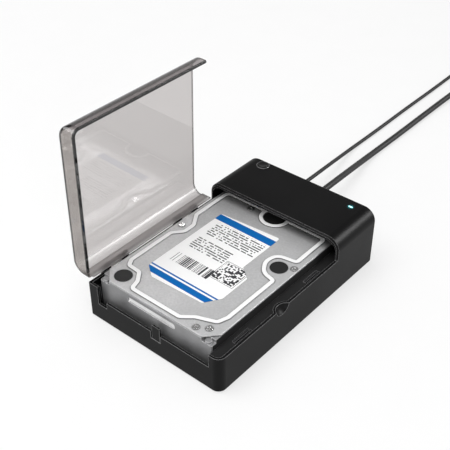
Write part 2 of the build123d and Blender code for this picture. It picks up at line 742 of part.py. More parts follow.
def cover_form(inset, low, rear, front_round):
    """The cover's outline drawn in by a wall, from a height over the hinge axis up."""
    with BuildPart() as form:
        with BuildSketch(swung(rear)) as section:
            with Locations((half_width - pin_inset, (low + cover_top - inset) / 2)):
                Rectangle(base_width - 2 * inset, cover_top - inset - low)
            fillet(section.vertices().group_by(Axis.Y)[-1], cover_round - inset)
        extrude(amount=rear - cover_front - inset)
        fillet(form.faces().sort_by(Axis.Y)[0].edges().sort_by(Axis.X)[:-1], front_round)
        with BuildSketch(cover_plan) as plan:
            with Locations((half_width - pin_inset, (cover_front + inset + rear) / 2)):
                Rectangle(base_width - 2 * inset, rear - cover_front - inset)
            fillet(plan.vertices().group_by(Axis.Y)[0].sort_by(Axis.X)[-1], corner_round - inset)
        extrude(amount=2 * cover_top, both=True, mode=Mode.INTERSECT)
    return form.part


cover_outside = cover_form(0, side_low, cover_rear, cover_front_round)
cover_inside = cover_form(cover_wall, side_low - overrun, cover_rear + overrun, cover_front_round - cover_wall)
with BuildPart() as cover:
    add(cover_outside)
    add(cover_inside, mode=Mode.SUBTRACT)
    for hinge_y in hinge_places:
        reach = base_knuckle / 2 + knuckle_gap
        for middle in (hinge_y - hinge_step, hinge_y + hinge_step):
            along(knuckle_round + knuckle_gap, hinge_x, hinge_z, middle - reach, middle + reach,
                  mode=Mode.SUBTRACT)
        along(knuckle_round, hinge_x, hinge_z, hinge_y - cover_knuckle / 2, hinge_y + cover_knuckle / 2)
        along(pin_radius + pin_clearance, hinge_x, hinge_z, hinge_y - cover_knuckle / 2 - knuckle_gap,
              hinge_y + cover_knuckle / 2 + knuckle_gap, mode=Mode.SUBTRACT)
    # a lip along the hinge side, which drops inside the wall when the cover closes
    bridge = lip_inner - cover_wall + pin_inset + edge_round / 2
    with BuildSketch(swung(cover_rear)):
        with Locations((lip_inner + lip_thick / 2, (lip_rise - lip_drop) / 2)):
            Rectangle(lip_thick, lip_rise + lip_drop)
        with Locations((lip_inner - bridge / 2, (side_low + lip_rise) / 2)):
            Rectangle(bridge, lip_rise - side_low)
    extrude(amount=cover_rear - cover_front - cover_wall)
save(cover, "cover")

# The docked drive: casting, lid with its raised seam, label, stickers, board and connector
lid_thick = 1.0
seam_high = 0.6
casting_top = drive_top - lid_thick - seam_high
lid_face = casting_top + lid_thick
board_recess = 4.6
rail_width = 6.0
corner_step = 9.0
corner_drop = 2.6
bar_share = (0.475, 0.743)     # the pale bar's middle, of the drive's width and height
bar_length_share = 0.423       # of its width
bar_high = 4.4
bar_depth = 0.8
side_hole = 1.6
side_hole_depth = 4.0
side_hole_rise = 6.35
side_hole_shares = (0.116, 0.399, 0.807)
lug_round = 2.2
lug_high = 1.8
connector_housing = 42.0
connector_depth = 8.0
connector_low = drive_low + 2 * fit
connector_high = connector_z + nose_height / 2 + cavity_clear + fit * 3
drive_board_low = drive_low + 4 * fit
drive_board_thick = 1.0
drive_board_top = drive_board_low + drive_board_thick
drive_board_share = 1 / 3
drive_post_shares = ((0.16, 0.40), (0.84, 0.40), (0.16, 0.86), (0.84, 0.86))


def on_drive(x_share, y_share):
    """A place on the drive, as shares of its width and length."""
    return (drive_left + x_share * drive_width, drive_front + y_share * drive_length)


with BuildPart() as drive_casting:
    span_box(drive_left, drive_right, drive_front, drive_rear, drive_low, casting_top)
    fillet(drive_casting.edges().filter_by(Axis.Z).group_by(Axis.Y)[0], edge_round * 2)
    # it steps down at the front corners, where the lid is cut away
    for corner_x in (drive_left, drive_right - corner_step):
        span_box(corner_x, corner_x + corner_step, drive_front - overrun, drive_front + corner_step / 2,
                 casting_top - corner_drop, casting_top + overrun, mode=Mode.SUBTRACT)
        upright(lug_round, corner_x + corner_step / 2, drive_front + lug_round, casting_top - corner_drop,
                casting_top - corner_drop + lug_high)
    with BuildSketch(facing_front(drive_front + bar_depth)):
        with Locations((drive_left + bar_share[0] * drive_width, drive_low + bar_share[1] * drive_height)):
            SlotOverall(bar_length_share * drive_width, bar_high)
    extrude(amount=bar_depth + overrun, mode=Mode.SUBTRACT)
    # underside recess for the board, with the connector's place at the rear
    span_box(drive_left + rail_width, drive_right - rail_width, drive_front + 2 * corner_step,
             drive_rear - rail_width, drive_low - overrun, drive_low + board_recess, mode=Mode.SUBTRACT)
    half_housing = connector_housing / 2 + fit
    span_box(connector_x - half_housing, connector_x + half_housing, drive_rear - connector_depth - fit,
             drive_rear + overrun, drive_low - overrun, connector_high + fit, mode=Mode.SUBTRACT)
    for post_share in drive_post_shares:
        post_x, post_y = on_drive(*post_share)
        upright(lug_round, post_x, post_y, drive_board_top, drive_low + board_recess)
    for side_share in side_hole_shares:
        hole_y = drive_front + side_share * drive_length
        for side_x in (drive_left - overrun, drive_right - side_hole_depth):
            with BuildSketch(facing_right(side_x)):
                with Locations((hole_y, drive_low + side_hole_rise)):
                    Circle(side_hole)
            extrude(amount=side_hole_depth + overrun, mode=Mode.SUBTRACT)
save(drive_casting, "drive_casting")

seam_width = 3.0
seam_shares = (
    (0.045, 0.898), (0.045, 0.646), (0.114, 0.571), (0.114, 0.503), (0.049, 0.452), (0.049, 0.177),
    (0.079, 0.140), (0.183, 0.136), (0.242, 0.082), (0.262, 0.031), (0.689, 0.031), (0.768, 0.075),
    (0.906, 0.112), (0.931, 0.163), (0.931, 0.490), (0.827, 0.506), (0.764, 0.578), (0.787, 0.650),
    (0.937, 0.667), (0.937, 0.898),
)
seam_round_shares = (
    0.04, 0.03, 0.05, 0.05, 0.04, 0.03, 0.03, 0.04, 0.05, 0.03,
    0.04, 0.04, 0.03, 0.03, 0.02, 0.11, 0.11, 0.08, 0.02, 0.04,
)
shaft_share = (0.508, 0.884)
shaft_round = 12.0
lid_edge = 0.3
with BuildPart() as drive_lid:
    lid_left = drive_left + lid_edge
    lid_right = drive_right - lid_edge
    lid_front = drive_front + lid_edge
    lid_rear = drive_rear - lid_edge
    half_cut = corner_step / 2
    with BuildSketch(level(casting_top)):
        with BuildLine():
            Polyline(
                (lid_left, lid_front + corner_step), (lid_left + half_cut, lid_front + half_cut),
                (lid_left + corner_step, lid_front), (lid_right - corner_step, lid_front),
                (lid_right - half_cut, lid_front + half_cut), (lid_right, lid_front + corner_step),
                (lid_right, lid_rear), (lid_left, lid_rear), close=True,
            )
        make_face()
    extrude(amount=lid_thick)
    with BuildSketch(level(lid_face)):
        with BuildLine():
            FilletPolyline([on_drive(*share) for share in seam_shares],
                           radius=[share * drive_width for share in seam_round_shares], close=True)
        make_face()
        offset(amount=seam_width / 2)
        offset(amount=-seam_width, mode=Mode.SUBTRACT)
        with Locations(on_drive(*shaft_share)):
            Circle(shaft_round)
            Circle(shaft_round - seam_width, mode=Mode.SUBTRACT)
    extrude(amount=seam_high)
    with BuildSketch(level(casting_top)):
        with Locations(on_drive(*shaft_share)):
            Circle(shaft_round - seam_width)
    extrude(amount=lid_thick + seam_high, mode=Mode.SUBTRACT)
save(drive_lid, "drive_lid")

# A plain label in an outline of its own, two round stickers and one in the lid's round well
label_thick = 0.12
label_round = 2.0
label_shares = (
    (0.177, 0.204), (0.177, 0.735), (0.689, 0.762), (0.689, 0.476),
    (0.787, 0.422), (0.787, 0.245), (0.709, 0.163), (0.276, 0.150),
)
with BuildPart() as drive_label:
    with BuildSketch(level(lid_face)) as label_print:
        with BuildLine():
            Polyline([on_drive(*share) for share in label_shares], close=True)
        make_face()
        fillet(label_print.vertices(), label_round)
    extrude(amount=label_thick)
save(drive_label, "drive_label")
sticker_round = 6.4
sticker_shares = ((0.125, 0.071), (0.876, 0.583))
with BuildPart() as drive_stickers:
    with BuildSketch(level(lid_face)):
        with Locations([on_drive(*share) for share in sticker_shares]):
            Circle(sticker_round)
    extrude(amount=label_thick * 2)
    with BuildSketch(level(casting_top)):
        with Locations(on_drive(*shaft_share)):
            Circle(shaft_round - seam_width - fit)
    extrude(amount=label_thick * 2)
save(drive_stickers, "drive_stickers")

lid_screw_round = 2.4
lid_screw_shares = ((0.831, 0.030), (0.904, 0.061), (0.045, 0.535), (0.303, 0.865), (0.965, 0.620))
with BuildPart() as drive_screws:
    for screw_share in lid_screw_shares:
        screw_x, screw_y = on_drive(*screw_share)
        upright(lid_screw_round, screw_x, screw_y, lid_face, lid_face + seam_high)
        with BuildSketch(level(lid_face + seam_high / 2)):
            with Locations((screw_x, screw_y)):
                RegularPolygon(lid_screw_round / 2, 6)
        extrude(amount=seam_high, mode=Mode.SUBTRACT)
save(drive_screws, "drive_screws")

with BuildPart() as drive_board:
    span_box(drive_left + rail_width + fit, drive_right - rail_width - fit,
             drive_front + drive_board_share * drive_length, drive_rear - connector_depth,
             drive_board_low, drive_board_top)
save(drive_board, "drive_board")
drive_chip_side = 12.0
drive_chip_shares = ((0.34, 0.52), (0.64, 0.66))
with BuildPart() as drive_chips:
    with BuildSketch(level(drive_board_top)):
        with Locations([on_drive(*share) for share in drive_chip_shares]):
            Rectangle(drive_chip_side, drive_chip_side)
    extrude(amount=chip_thick)
save(drive_chips, "drive_chips")
with BuildPart() as drive_board_screws:
    for post_share in drive_post_shares:
        screw_x, screw_y = on_drive(*post_share)
        upright(lug_round, screw_x, screw_y, drive_board_low - 2 * fit, drive_board_low)
save(drive_board_screws, "drive_board_screws")
with BuildPart() as drive_connector:
    half_housing = connector_housing / 2
    span_box(connector_x - half_housing, connector_x + half_housing, drive_rear - connector_depth, drive_rear,
             connector_low, connector_high)
    half_cavity = nose_width / 2 + cavity_clear
    half_high = nose_height / 2 + cavity_clear
    cavity_front = socket_front - nose_reach - fit * 2
    span_box(connector_x - half_cavity, connector_x + half_cavity, cavity_front, drive_rear + overrun,
             connector_z - half_high, connector_z + half_high, mode=Mode.SUBTRACT)
    for slot_x, slot_width in tongues:
        span_box(slot_x - slot_width / 2, slot_x + slot_width / 2, cavity_front - fit,
                 cavity_front + tongue_reach, connector_z - tongue_thick / 2, connector_z + tongue_thick / 2)
save(drive_connector, "drive_connector")


# Cords: each leaves its socket straight, sags to the table and runs off behind the dock
def bend(start, corner, finish):
    """An arc from start to finish, tangent to the legs that meet at the corner."""
    turn = radians((corner - start).get_angle(finish - corner))
    radius = (corner - start).length / tan(turn / 2)
    chord_middle = (start + finish) / 2
    crown = chord_middle + (corner - chord_middle).normalized() * (radius * (1 - cos(turn / 2)))
    ThreePointArc(start, crown, finish)


def coil_places(entry, outer, pitch, half_turns):
    """Where each half turn ends, and each layer's last one climbs. The cord comes in at the left."""
    radius = outer
    height = entry.Z
    side = -1
    places = [entry]
    for layer, count in enumerate(half_turns):
        for step in range(count):
            if step == count - 1 and layer < len(half_turns) - 1:
                height += pitch
            else:
                radius += pitch / 2 if layer % 2 else -pitch / 2
            side = -side
            places.append(Vector(entry.X + outer + side * radius, entry.Y, height))
    return places


def coil_line(places, lead):
    """A straight lead, two quarter arcs for each half turn, and a straight end."""
    heading = Vector(0, 1, 0)
    Line(places[0] - heading * lead, places[0])
    for start, finish in zip(places, places[1:]):
        leg = (finish - start).length / 2
        first = start + heading * leg
        second = finish + heading * leg
        middle = (first + second) / 2
        bend(start, first, middle)
        bend(middle, second, finish)
        heading = heading * -1
    Line(places[-1], places[-1] + heading * lead)
    return heading


def self_gap(path, thick):
    """The least gap between stretches of a coil that aren't neighbours along it."""
    count = ceil(path.length / (thick / 2))
    points = [path.position_at(step / count) for step in range(count + 1)]
    skip = ceil(4 * thick / (path.length / count))
    return min((one - two).length for place, one in enumerate(points) for two in points[place + skip:]) - thick


def route_radii(places):
    """At each inner point, 0.45 of the shorter run, divided by the tangent of half the turn."""
    radii = []
    for before, here, after in zip(places, places[1:], places[2:]):
        turn = radians((here - before).get_angle(after - here))
        shorter = min((here - before).length, (after - here).length)
        radii.append(0.45 * shorter / tan(turn / 2))
    return radii


def cord_stretch(points, radius, name):
    """A free stretch of cord along straight runs and tangent arcs."""
    places = [Vector(point) for point in points]
    radii = route_radii(places)
    with BuildPart() as stretch:
        with BuildLine() as line:
            FilletPolyline(places, radius=radii)
        with BuildSketch(Plane(origin=places[0], z_dir=places[1] - places[0])) as ring:
            Circle(radius)
        sweep(ring.sketch, path=line.wire())
    length = line.wire().length
    share = stretch.part.volume / (length * pi * radius ** 2)
    print(name, "length", round(length, 1), "radii", [round(r) for r in radii], "volume share", round(share, 4))
    save(stretch, name)
    return length


def cord_coil(entry, outer, pitch, half_turns, radius, name):
    """A wound coil. Gives the place and heading at which its cord goes on."""
    places = coil_places(entry, outer, pitch, half_turns)
    with BuildPart() as wound:
        with BuildLine() as line:
            heading = coil_line(places, 2 * radius)
        with BuildSketch(Plane(origin=places[0] - Vector(0, 2 * radius, 0), z_dir=(0, 1, 0))) as ring:
            Circle(radius)
        sweep(ring.sketch, path=line.wire())
    length = line.wire().length
    share = wound.part.volume / (length * pi * radius ** 2)
    print(name, "length", round(length, 1), "least gap", round(self_gap(line.wire(), 2 * radius), 2),
          "volume share", round(share, 4))
    save(wound, name)
    return places[-1] + heading * (2 * radius), length


def cord_places(socket_x, drift, reach, radius, shares):
    """Points along a cord behind the dock, from shares of its drift, its reach and its fall."""
    return [
        (mid_x + socket_x - aside * drift, half_length + back * reach, radius + rise * (port_height - radius))
        for aside, back, rise in shares
    ]


def relief(start, heading, length, wide, narrow, name, ribs=3):
    """A ribbed, tapered strain relief from a plug to its cord."""
    steps = 2 * ribs + 1
    outline = [(0, 0), (0, wide)]
    for rib in range(ribs):
        near = (2 * rib + 1) / steps
        far = (2 * rib + 2) / steps
        near_round = wide + (narrow - wide) * near
        far_round = wide + (narrow - wide) * far
        dip = narrow / 8
        outline += [(near * length, near_round), (near * length, near_round - dip),
                    (far * length, far_round - dip), (far * length, far_round)]
    outline += [(length, narrow), (length, 0)]
    with BuildPart() as boot:
        with BuildSketch(Plane(origin=start, x_dir=heading, z_dir=heading.cross(Vector(0, 0, 1)))) as profile:
            with BuildLine():
                Polyline(outline, close=True)
            make_face()
        revolve(profile.sketch, axis=Axis(start, heading))
    save(boot, name)


def tie(middle_x, inner, outer, low, high, name):
    """A flat tie round a coil's bundle, where the bundle crosses the coil's middle."""
    with BuildPart() as band:
        with BuildSketch(facing_right(middle_x - tie_length / 2)) as ring:
            with Locations(((inner + outer) / 2, (low + high) / 2)):
                RectangleRounded(outer - inner, high - low, tie_round + tie_thick)
                RectangleRounded(outer - inner - 2 * tie_thick, high - low - 2 * tie_thick, tie_round,
                                 mode=Mode.SUBTRACT)
        extrude(ring.sketch, amount=tie_length)
    save(band, name)


tie_thick = 0.8
tie_gap = 0.45
tie_length = 6.4
tie_bow = 0.4             # more room on the inside of the bundle's curve
tie_round = 1.2
lift = tie_thick + tie_gap
behind = Vector(0, 1, 0)

# Data cord: plug in the socket, free stretch, coil, and the plug at its far end
usb_radius = 2.65
plug_gap = 0.4
plug_face = half_length + plug_gap
usb_plug_length = 19.0
usb_boot_length = 12.0
usb_plug_half_wide = 6.2
usb_plug_half_high = 5.4
tip_clear = 0.4
usb_boot_wide = 4.6
boot_lip = 0.5
with BuildPart() as usb_plug_tip:
    tip_half_wide = usb_width / 2 - usb_skin - tip_clear
    tip_half_high = (usb_high - board_top) / 2 - usb_skin - tip_clear
    tip_front = insert_back + 2 * tip_clear
    span_box(usb_x - tip_half_wide, usb_x + tip_half_wide, tip_front, plug_face,
             port_height - tip_half_high, port_height + tip_half_high)
    span_box(usb_x - tip_half_wide + usb_skin, usb_x + tip_half_wide - usb_skin, tip_front - overrun, plug_face,
             port_height - tip_half_high + usb_skin, port_height + tip_half_high - usb_skin, mode=Mode.SUBTRACT)
save(usb_plug_tip, "usb_plug_tip")
with BuildPart() as usb_plug:
    with BuildSketch(facing_front(plug_face + usb_plug_length)):
        with Locations((usb_x, port_height)):
            RectangleRounded(2 * usb_plug_half_wide, 2 * usb_plug_half_high, edge_round * 2)
    extrude(amount=usb_plug_length)
    fillet(usb_plug.faces().sort_by(Axis.Y)[-1].edges(), edge_round)
save(usb_plug, "usb_plug")
usb_boot_start = plug_face + usb_plug_length
usb_start = usb_boot_start + usb_boot_length
relief(Vector(mid_x + usb_x, usb_boot_start, port_height), behind, usb_boot_length, usb_boot_wide,
       usb_radius + boot_lip, "usb_boot")
usb_reach = 314.5         # from the dock's rear face to the coil's middle
usb_drift = 10.0          # how far it wanders to the left on its way
usb_shares = (
    (0, 0.1542, 1), (0.31, 0.2464, 0.681), (0.96, 0.38, 0), (0.88, 0.5485, 0.008), (0.9, 0.7266, 0),
)
usb_entry_share = 0.76
usb_coil_lead_share = 0.8792
usb_entry = Vector(mid_x + usb_x - usb_entry_share * usb_drift, half_length + usb_reach, usb_radius + lift)
usb_route = [(mid_x + usb_x, usb_start, port_height)]
usb_route += cord_places(usb_x, usb_drift, usb_reach, usb_radius, usb_shares)
usb_route += [
    (usb_entry.X, half_length + usb_coil_lead_share * usb_reach, usb_entry.Z),
    (usb_entry.X, usb_entry.Y - 2 * usb_radius, usb_entry.Z),
]
usb_length = cord_stretch(usb_route, usb_radius, "usb_cord")
usb_outer = 36.0
usb_pitch = 6.7
usb_half_turns = (5, 4)
usb_out, usb_coiled = cord_coil(usb_entry, usb_outer, usb_pitch, usb_half_turns, usb_radius, "usb_coil")
far_plug_half_high = 4.2
far_plug_half_wide = 8.0
far_plug_length = 30.0
far_boot_length = 10.0
far_boot_wide = 3.8
far_tip_half_wide = 6.0
far_tip_half_high = 2.25
far_tip_length = 18.8
usb_tail_reach = 60.0
usb_tail_drift = 2.6
usb_tail_shares = ((0, 0, 0), (0, 0.2333, 0), (0.54, 0.5, 0.5), (1, 0.7667, 1), (1, 1, 1))
usb_fall = usb_out.Z - far_plug_half_high
usb_tail_route = [
    (usb_out.X + aside * usb_tail_drift, usb_out.Y - back * usb_tail_reach, usb_out.Z - down * usb_fall)
    for aside, back, down in usb_tail_shares
]
usb_tail_length = cord_stretch(usb_tail_route, usb_radius, "usb_tail")
far_x = usb_tail_route[-1][0] - mid_x
far_boot_y = usb_tail_route[-1][1] - far_boot_length
far_tip_y = far_boot_y - far_plug_length
relief(Vector(mid_x + far_x, far_boot_y, far_plug_half_high), behind, far_boot_length, far_boot_wide,
       usb_radius + boot_lip, "usb_a_boot")
with BuildPart() as usb_a_plug:
    with BuildSketch(facing_front(far_boot_y)):
        with Locations((far_x, far_plug_half_high)):
            RectangleRounded(2 * far_plug_half_wide, 2 * far_plug_half_high, edge_round * 2)
    extrude(amount=far_plug_length)
    fillet(usb_a_plug.faces().sort_by(Axis.Y)[-1].edges(), edge_round)
save(usb_a_plug, "usb_a_plug")
with BuildPart() as usb_a_tip:
    span_box(far_x - far_tip_half_wide, far_x + far_tip_half_wide, far_tip_y - far_tip_length, far_tip_y,
             far_plug_half_high - far_tip_half_high, far_plug_half_high + far_tip_half_high)
    span_box(far_x - far_tip_half_wide + usb_skin, far_x + far_tip_half_wide - usb_skin,
             far_tip_y - far_tip_length - overrun, far_tip_y - usb_skin, far_plug_half_high,
             far_plug_half_high + far_tip_half_high - usb_skin, mode=Mode.SUBTRACT)
save(usb_a_tip, "usb_a_tip")
usb_near = usb_entry.Y - usb_outer + usb_pitch * 3 / 4
tie(usb_entry.X - mid_x + usb_outer, usb_near - usb_radius - tie_gap - tie_thick,
    usb_near + usb_pitch + usb_radius + tie_bow + tie_gap + tie_thick, 0,
    2 * lift + 2 * usb_radius + usb_pitch, "usb_tie")

# Supply cord: barrel plug, free stretch, coil, and the wall adapter at its far end
dc_radius = 1.65
barrel_round = 2.75
barrel_bore = 1.25
grip_length = 18.0
grip_wide = 4.6
grip_narrow = 4.2
dc_boot_length = 12.4
dc_boot_wide = 3.4
barrel_front = usb_mouth - dc_bore_depth + 2 * tip_clear
grip_end = plug_face + grip_length
with BuildPart() as dc_barrel:
    along(barrel_round, dc_x, port_height, barrel_front, plug_face)
    along(barrel_bore, dc_x, port_height, barrel_front - overrun, plug_face - tip_clear, mode=Mode.SUBTRACT)
save(dc_barrel, "dc_barrel")
with BuildPart() as dc_plug:
    with BuildSketch(facing_right(dc_x)):
        with BuildLine():
            Polyline((plug_face, port_height), (plug_face, port_height + grip_wide),
                     (grip_end, port_height + grip_narrow), (grip_end, port_height), close=True)
        make_face()
    revolve(axis=Axis((mid_x + dc_x, 0, port_height), (0, 1, 0)))
    fillet(dc_plug.faces().sort_by(Axis.Y)[-1].edges(), edge_round / 2)
save(dc_plug, "dc_plug")
relief(Vector(mid_x + dc_x, grip_end, port_height), behind, dc_boot_length, dc_boot_wide,
       dc_radius + boot_lip, "dc_boot")
dc_reach = 378.5
dc_drift = 11.4
dc_shares = (
    (0, 0.1281, 1), (0.316, 0.2048, 0.69), (1, 0.3157, 0), (0.947, 0.4399, 0.007), (0.982, 0.572, 0),
    (0.93, 0.7041, 0.007), (0.956, 0.8177, 0),
)
dc_entry_share = 0.868
dc_coil_lead_share = 0.9128
dc_entry = Vector(mid_x + dc_x - dc_entry_share * dc_drift, half_length + dc_reach, dc_radius + lift)
dc_route = [(mid_x + dc_x, grip_end + dc_boot_length, port_height)]
dc_route += cord_places(dc_x, dc_drift, dc_reach, dc_radius, dc_shares)
dc_route += [
    (dc_entry.X, half_length + dc_coil_lead_share * dc_reach, dc_entry.Z),
    (dc_entry.X, dc_entry.Y - 2 * dc_radius, dc_entry.Z),
]
dc_length = cord_stretch(dc_route, dc_radius, "dc_cord")
dc_outer = 21.6
dc_pitch = 4.4
dc_half_turns = (4, 4, 4, 4)
dc_out, dc_coiled = cord_coil(dc_entry, dc_outer, dc_pitch, dc_half_turns, dc_radius, "dc_coil")
adapter_length = 70.0
adapter_width = 42.0
adapter_height = 30.0
adapter_round = 4.0
adapter_seam = 0.5
adapter_seam_share = 0.8
adapter_boot_length = 12.0
dc_tail_reach = 49.0
dc_tail_aside = 42.0
dc_tail_shares = (
    (0, 0, 0), (0, 0.2857, 0), (0.081, 0.6122, 0.5), (0.3095, 0.8878, 1), (0.6667, 1, 1), (1, 1, 1),
)
dc_fall = dc_out.Z - adapter_height / 2
dc_tail_route = [
    (dc_out.X + aside * dc_tail_aside, dc_out.Y + back * dc_tail_reach, dc_out.Z - down * dc_fall)
    for aside, back, down in dc_tail_shares
]
dc_tail_length = cord_stretch(dc_tail_route, dc_radius, "dc_tail")
adapter_y = dc_tail_route[-1][1]
adapter_left = dc_tail_route[-1][0] - mid_x + adapter_boot_length
relief(Vector(mid_x + adapter_left, adapter_y, adapter_height / 2), Vector(-1, 0, 0), adapter_boot_length,
       dc_boot_wide, dc_radius + boot_lip, "adapter_boot")
with BuildPart() as adapter:
    span_box(adapter_left, adapter_left + adapter_length, adapter_y - adapter_width / 2,
             adapter_y + adapter_width / 2, 0, adapter_height)
    fillet(adapter.edges(), adapter_round)
    with BuildSketch(facing_right(adapter_left + adapter_seam_share * adapter_length)):
        with Locations((adapter_y, adapter_height / 2)):
            Rectangle(adapter_width + overrun, adapter_height + overrun)
            RectangleRounded(adapter_width - 2 * adapter_seam, adapter_height - 2 * adapter_seam,
                             adapter_round - adapter_seam, mode=Mode.SUBTRACT)
    extrude(amount=adapter_seam, mode=Mode.SUBTRACT)
save(adapter, "adapter")
prong_length = 17.5
prong_high = 6.3
prong_thick = 1.5
prong_spread = 12.7
with BuildPart() as adapter_prongs:
    with BuildSketch(facing_right(adapter_left + adapter_length)):
        with Locations((adapter_y, adapter_height / 2)):
            with GridLocations(prong_spread, 0, 2, 1):
                Rectangle(prong_thick, prong_high)
    extrude(amount=prong_length)
    fillet(adapter_prongs.faces().sort_by(Axis.X)[-2:].edges().filter_by(Axis.Y), prong_thick / 2)
save(adapter_prongs, "adapter_prongs")
dc_far = dc_entry.Y + dc_outer - dc_pitch / 4
tie(dc_entry.X - mid_x + dc_outer, dc_far - dc_pitch - dc_radius - tie_bow - tie_gap - tie_thick,
    dc_far + dc_radius + tie_gap + tie_thick, 0, 2 * lift + 2 * dc_radius + 3 * dc_pitch, "dc_tie")

print("data cord", round(usb_length + usb_coiled + usb_tail_length), "supply cord",
      round(dc_length + dc_coiled + dc_tail_length), "mid_x", round(mid_x, 3))
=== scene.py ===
import json
from math import cos, pi, radians, sin

import bmesh
import bpy
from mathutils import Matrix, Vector


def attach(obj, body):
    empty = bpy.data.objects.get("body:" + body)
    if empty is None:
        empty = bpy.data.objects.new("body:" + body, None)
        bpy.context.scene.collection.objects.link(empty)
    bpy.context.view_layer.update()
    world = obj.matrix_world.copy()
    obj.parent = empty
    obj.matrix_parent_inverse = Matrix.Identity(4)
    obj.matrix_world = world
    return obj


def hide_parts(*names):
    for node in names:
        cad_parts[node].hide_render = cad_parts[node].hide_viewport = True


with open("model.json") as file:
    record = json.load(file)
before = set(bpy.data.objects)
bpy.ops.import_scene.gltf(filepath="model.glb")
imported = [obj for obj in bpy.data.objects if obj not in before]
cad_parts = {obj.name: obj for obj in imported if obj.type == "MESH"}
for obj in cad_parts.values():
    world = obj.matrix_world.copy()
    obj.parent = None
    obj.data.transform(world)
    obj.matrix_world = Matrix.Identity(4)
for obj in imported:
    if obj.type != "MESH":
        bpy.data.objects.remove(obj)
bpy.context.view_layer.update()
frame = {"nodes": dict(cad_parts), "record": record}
nodes = frame["nodes"]
slotOf = {part["node"]: part["material_slot"] for part in frame["record"]["subparts"]}
midX = 7.773  # the base's middle, right of the origin, in mm
print("frame loaded:", len(nodes), "nodes")


# A place measured in mm from the middle of the base.
def at(x, y, z):
    return Vector((x + midX, y, z)) / 1000


# Camera, at the photograph's angle
view = {
    "eye": (309.36, -380.57, 426.97),
    "target": (-32.65, 25.86, 25.81),
    "lens": 70.664,
    "sensor": 36.0,
    "clip": 0.02,
}
cameraData = bpy.data.cameras.new("stationCamera")
cameraData.lens = view["lens"]
cameraData.sensor_width = view["sensor"]
cameraData.clip_start = view["clip"]
cameraObject = bpy.data.objects.new("stationCamera", cameraData)
cameraObject.location = at(*view["eye"])
cameraObject.rotation_euler = (at(*view["target"]) - at(*view["eye"])).to_track_quat("-Z", "Y").to_euler()
bpy.context.collection.objects.link(cameraObject)
bpy.context.scene.camera = cameraObject
bpy.context.scene.view_settings.view_transform = "Standard"


# Cords: the data cord and the supply cord, each one smooth line from its plug to its far end

# The turns of a wound coil. A half turn ends on the line across its middle.
def coilPoints(entry, outer, pitch, halfTurns, perHalf=8):
    points = []
    radius, height, side, heading = outer, entry[2], -1, 1
    startX = entry[0]
    spread = 1 / cos(pi / (2 * perHalf))  # the line passes just inside its control points
    for layer, count in enumerate(halfTurns):
        for step in range(count):
            startHeight = height
            if step == count - 1 and layer < len(halfTurns) - 1:
                height += pitch
            else:
                radius += pitch / 2 if layer % 2 else -pitch / 2
            side = -side
            endX = entry[0] + outer + side * radius
            middle, reach = (startX + endX) / 2, (startX - endX) / 2
            for k in range(perHalf):
                turn = (k + 0.5) * pi / perHalf
                rise = (1 - cos(turn)) / 2
                points.append((middle + reach * spread * cos(turn),
                               entry[1] + heading * abs(reach) * spread * sin(turn),
                               startHeight + (height - startHeight) * rise))
            startX = endX
            heading = -heading
    return points


# A round cord along one smooth curve.
def cordLine(name, points, radius):
    curve = bpy.data.curves.new(name, "CURVE")
    curve.dimensions = "3D"
    curve.resolution_u = 8
    curve.bevel_depth = 1.0
    curve.bevel_resolution = 5
    curve.use_fill_caps = True
    spline = curve.splines.new("NURBS")
    spline.points.add(len(points) - 1)
    for point, place in zip(spline.points, points):
        point.co = (*at(*place), 1)
        point.radius = radius / 1000
    spline.order_u = 3
    spline.use_endpoint_u = True
    cord = bpy.data.objects.new(name, curve)
    bpy.context.collection.objects.link(cord)
    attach(cord, "base")
    return cord


dataCord = {
    "radius": 2.65,
    "length": 1.159,
    "out": [(-10.4, 119.9, 15.5), (-10.4, 137.0, 15.5), (-13.5, 166.0, 11.4), (-20.0, 208.0, 2.65),
            (-19.2, 261.0, 2.75), (-19.4, 317.0, 2.65), (-18.0, 365.0, 3.9), (-18.0, 397.7, 3.9)],
    "coil": {"entry": (-18.0, 403.0, 3.9), "outer": 36.0, "pitch": 6.7, "halfTurns": (5, 4)},
    "end": [(54.0, 397.7, 10.6), (54.0, 383.7, 10.6), (55.4, 367.7, 7.4), (56.6, 351.7, 4.2),
            (56.6, 337.7, 4.2)],
}
supplyCord = {
    "radius": 1.65,
    "length": 1.354,
    "out": [(-28.4, 119.3, 15.5), (-28.4, 137.0, 15.5), (-32.0, 166.0, 11.2), (-39.8, 208.0, 1.65),
            (-39.2, 255.0, 1.75), (-39.6, 305.0, 1.65), (-39.0, 355.0, 1.75), (-39.3, 398.0, 1.65),
            (-38.3, 434.0, 2.9), (-38.3, 463.7, 2.9)],
    "coil": {"entry": (-38.3, 467.0, 2.9), "outer": 21.6, "pitch": 4.4, "halfTurns": (4, 4, 4, 4)},
    "end": [(-40.5, 470.3, 16.1), (-40.5, 484.3, 16.1), (-37.1, 500.3, 15.55), (-27.5, 513.8, 15.0),
            (-12.5, 519.3, 15.0), (1.5, 519.3, 15.0)],
}
usbLine = cordLine("usbLine", dataCord["out"] + coilPoints(**dataCord["coil"]) + dataCord["end"],
                   dataCord["radius"])
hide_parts("usb_cord", "usb_coil", "usb_tail")
dcLine = cordLine("dcLine", supplyCord["out"] + coilPoints(**supplyCord["coil"]) + supplyCord["end"],
                  supplyCord["radius"])
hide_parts("dc_cord", "dc_coil", "dc_tail")
print("cords laid")


# Node helpers

# Adds a node. A socket takes a value or a link from another node's output.
def put(tree, kind, sockets=None, **settings):
    made = tree.nodes.new(kind)
    for name, value in settings.items():
        setattr(made, name, value)
    for name, value in (sockets or {}).items():
        if isinstance(value, bpy.types.NodeSocket):
            tree.links.new(value, made.inputs[name])
        else:
            made.inputs[name].default_value = value
    return made


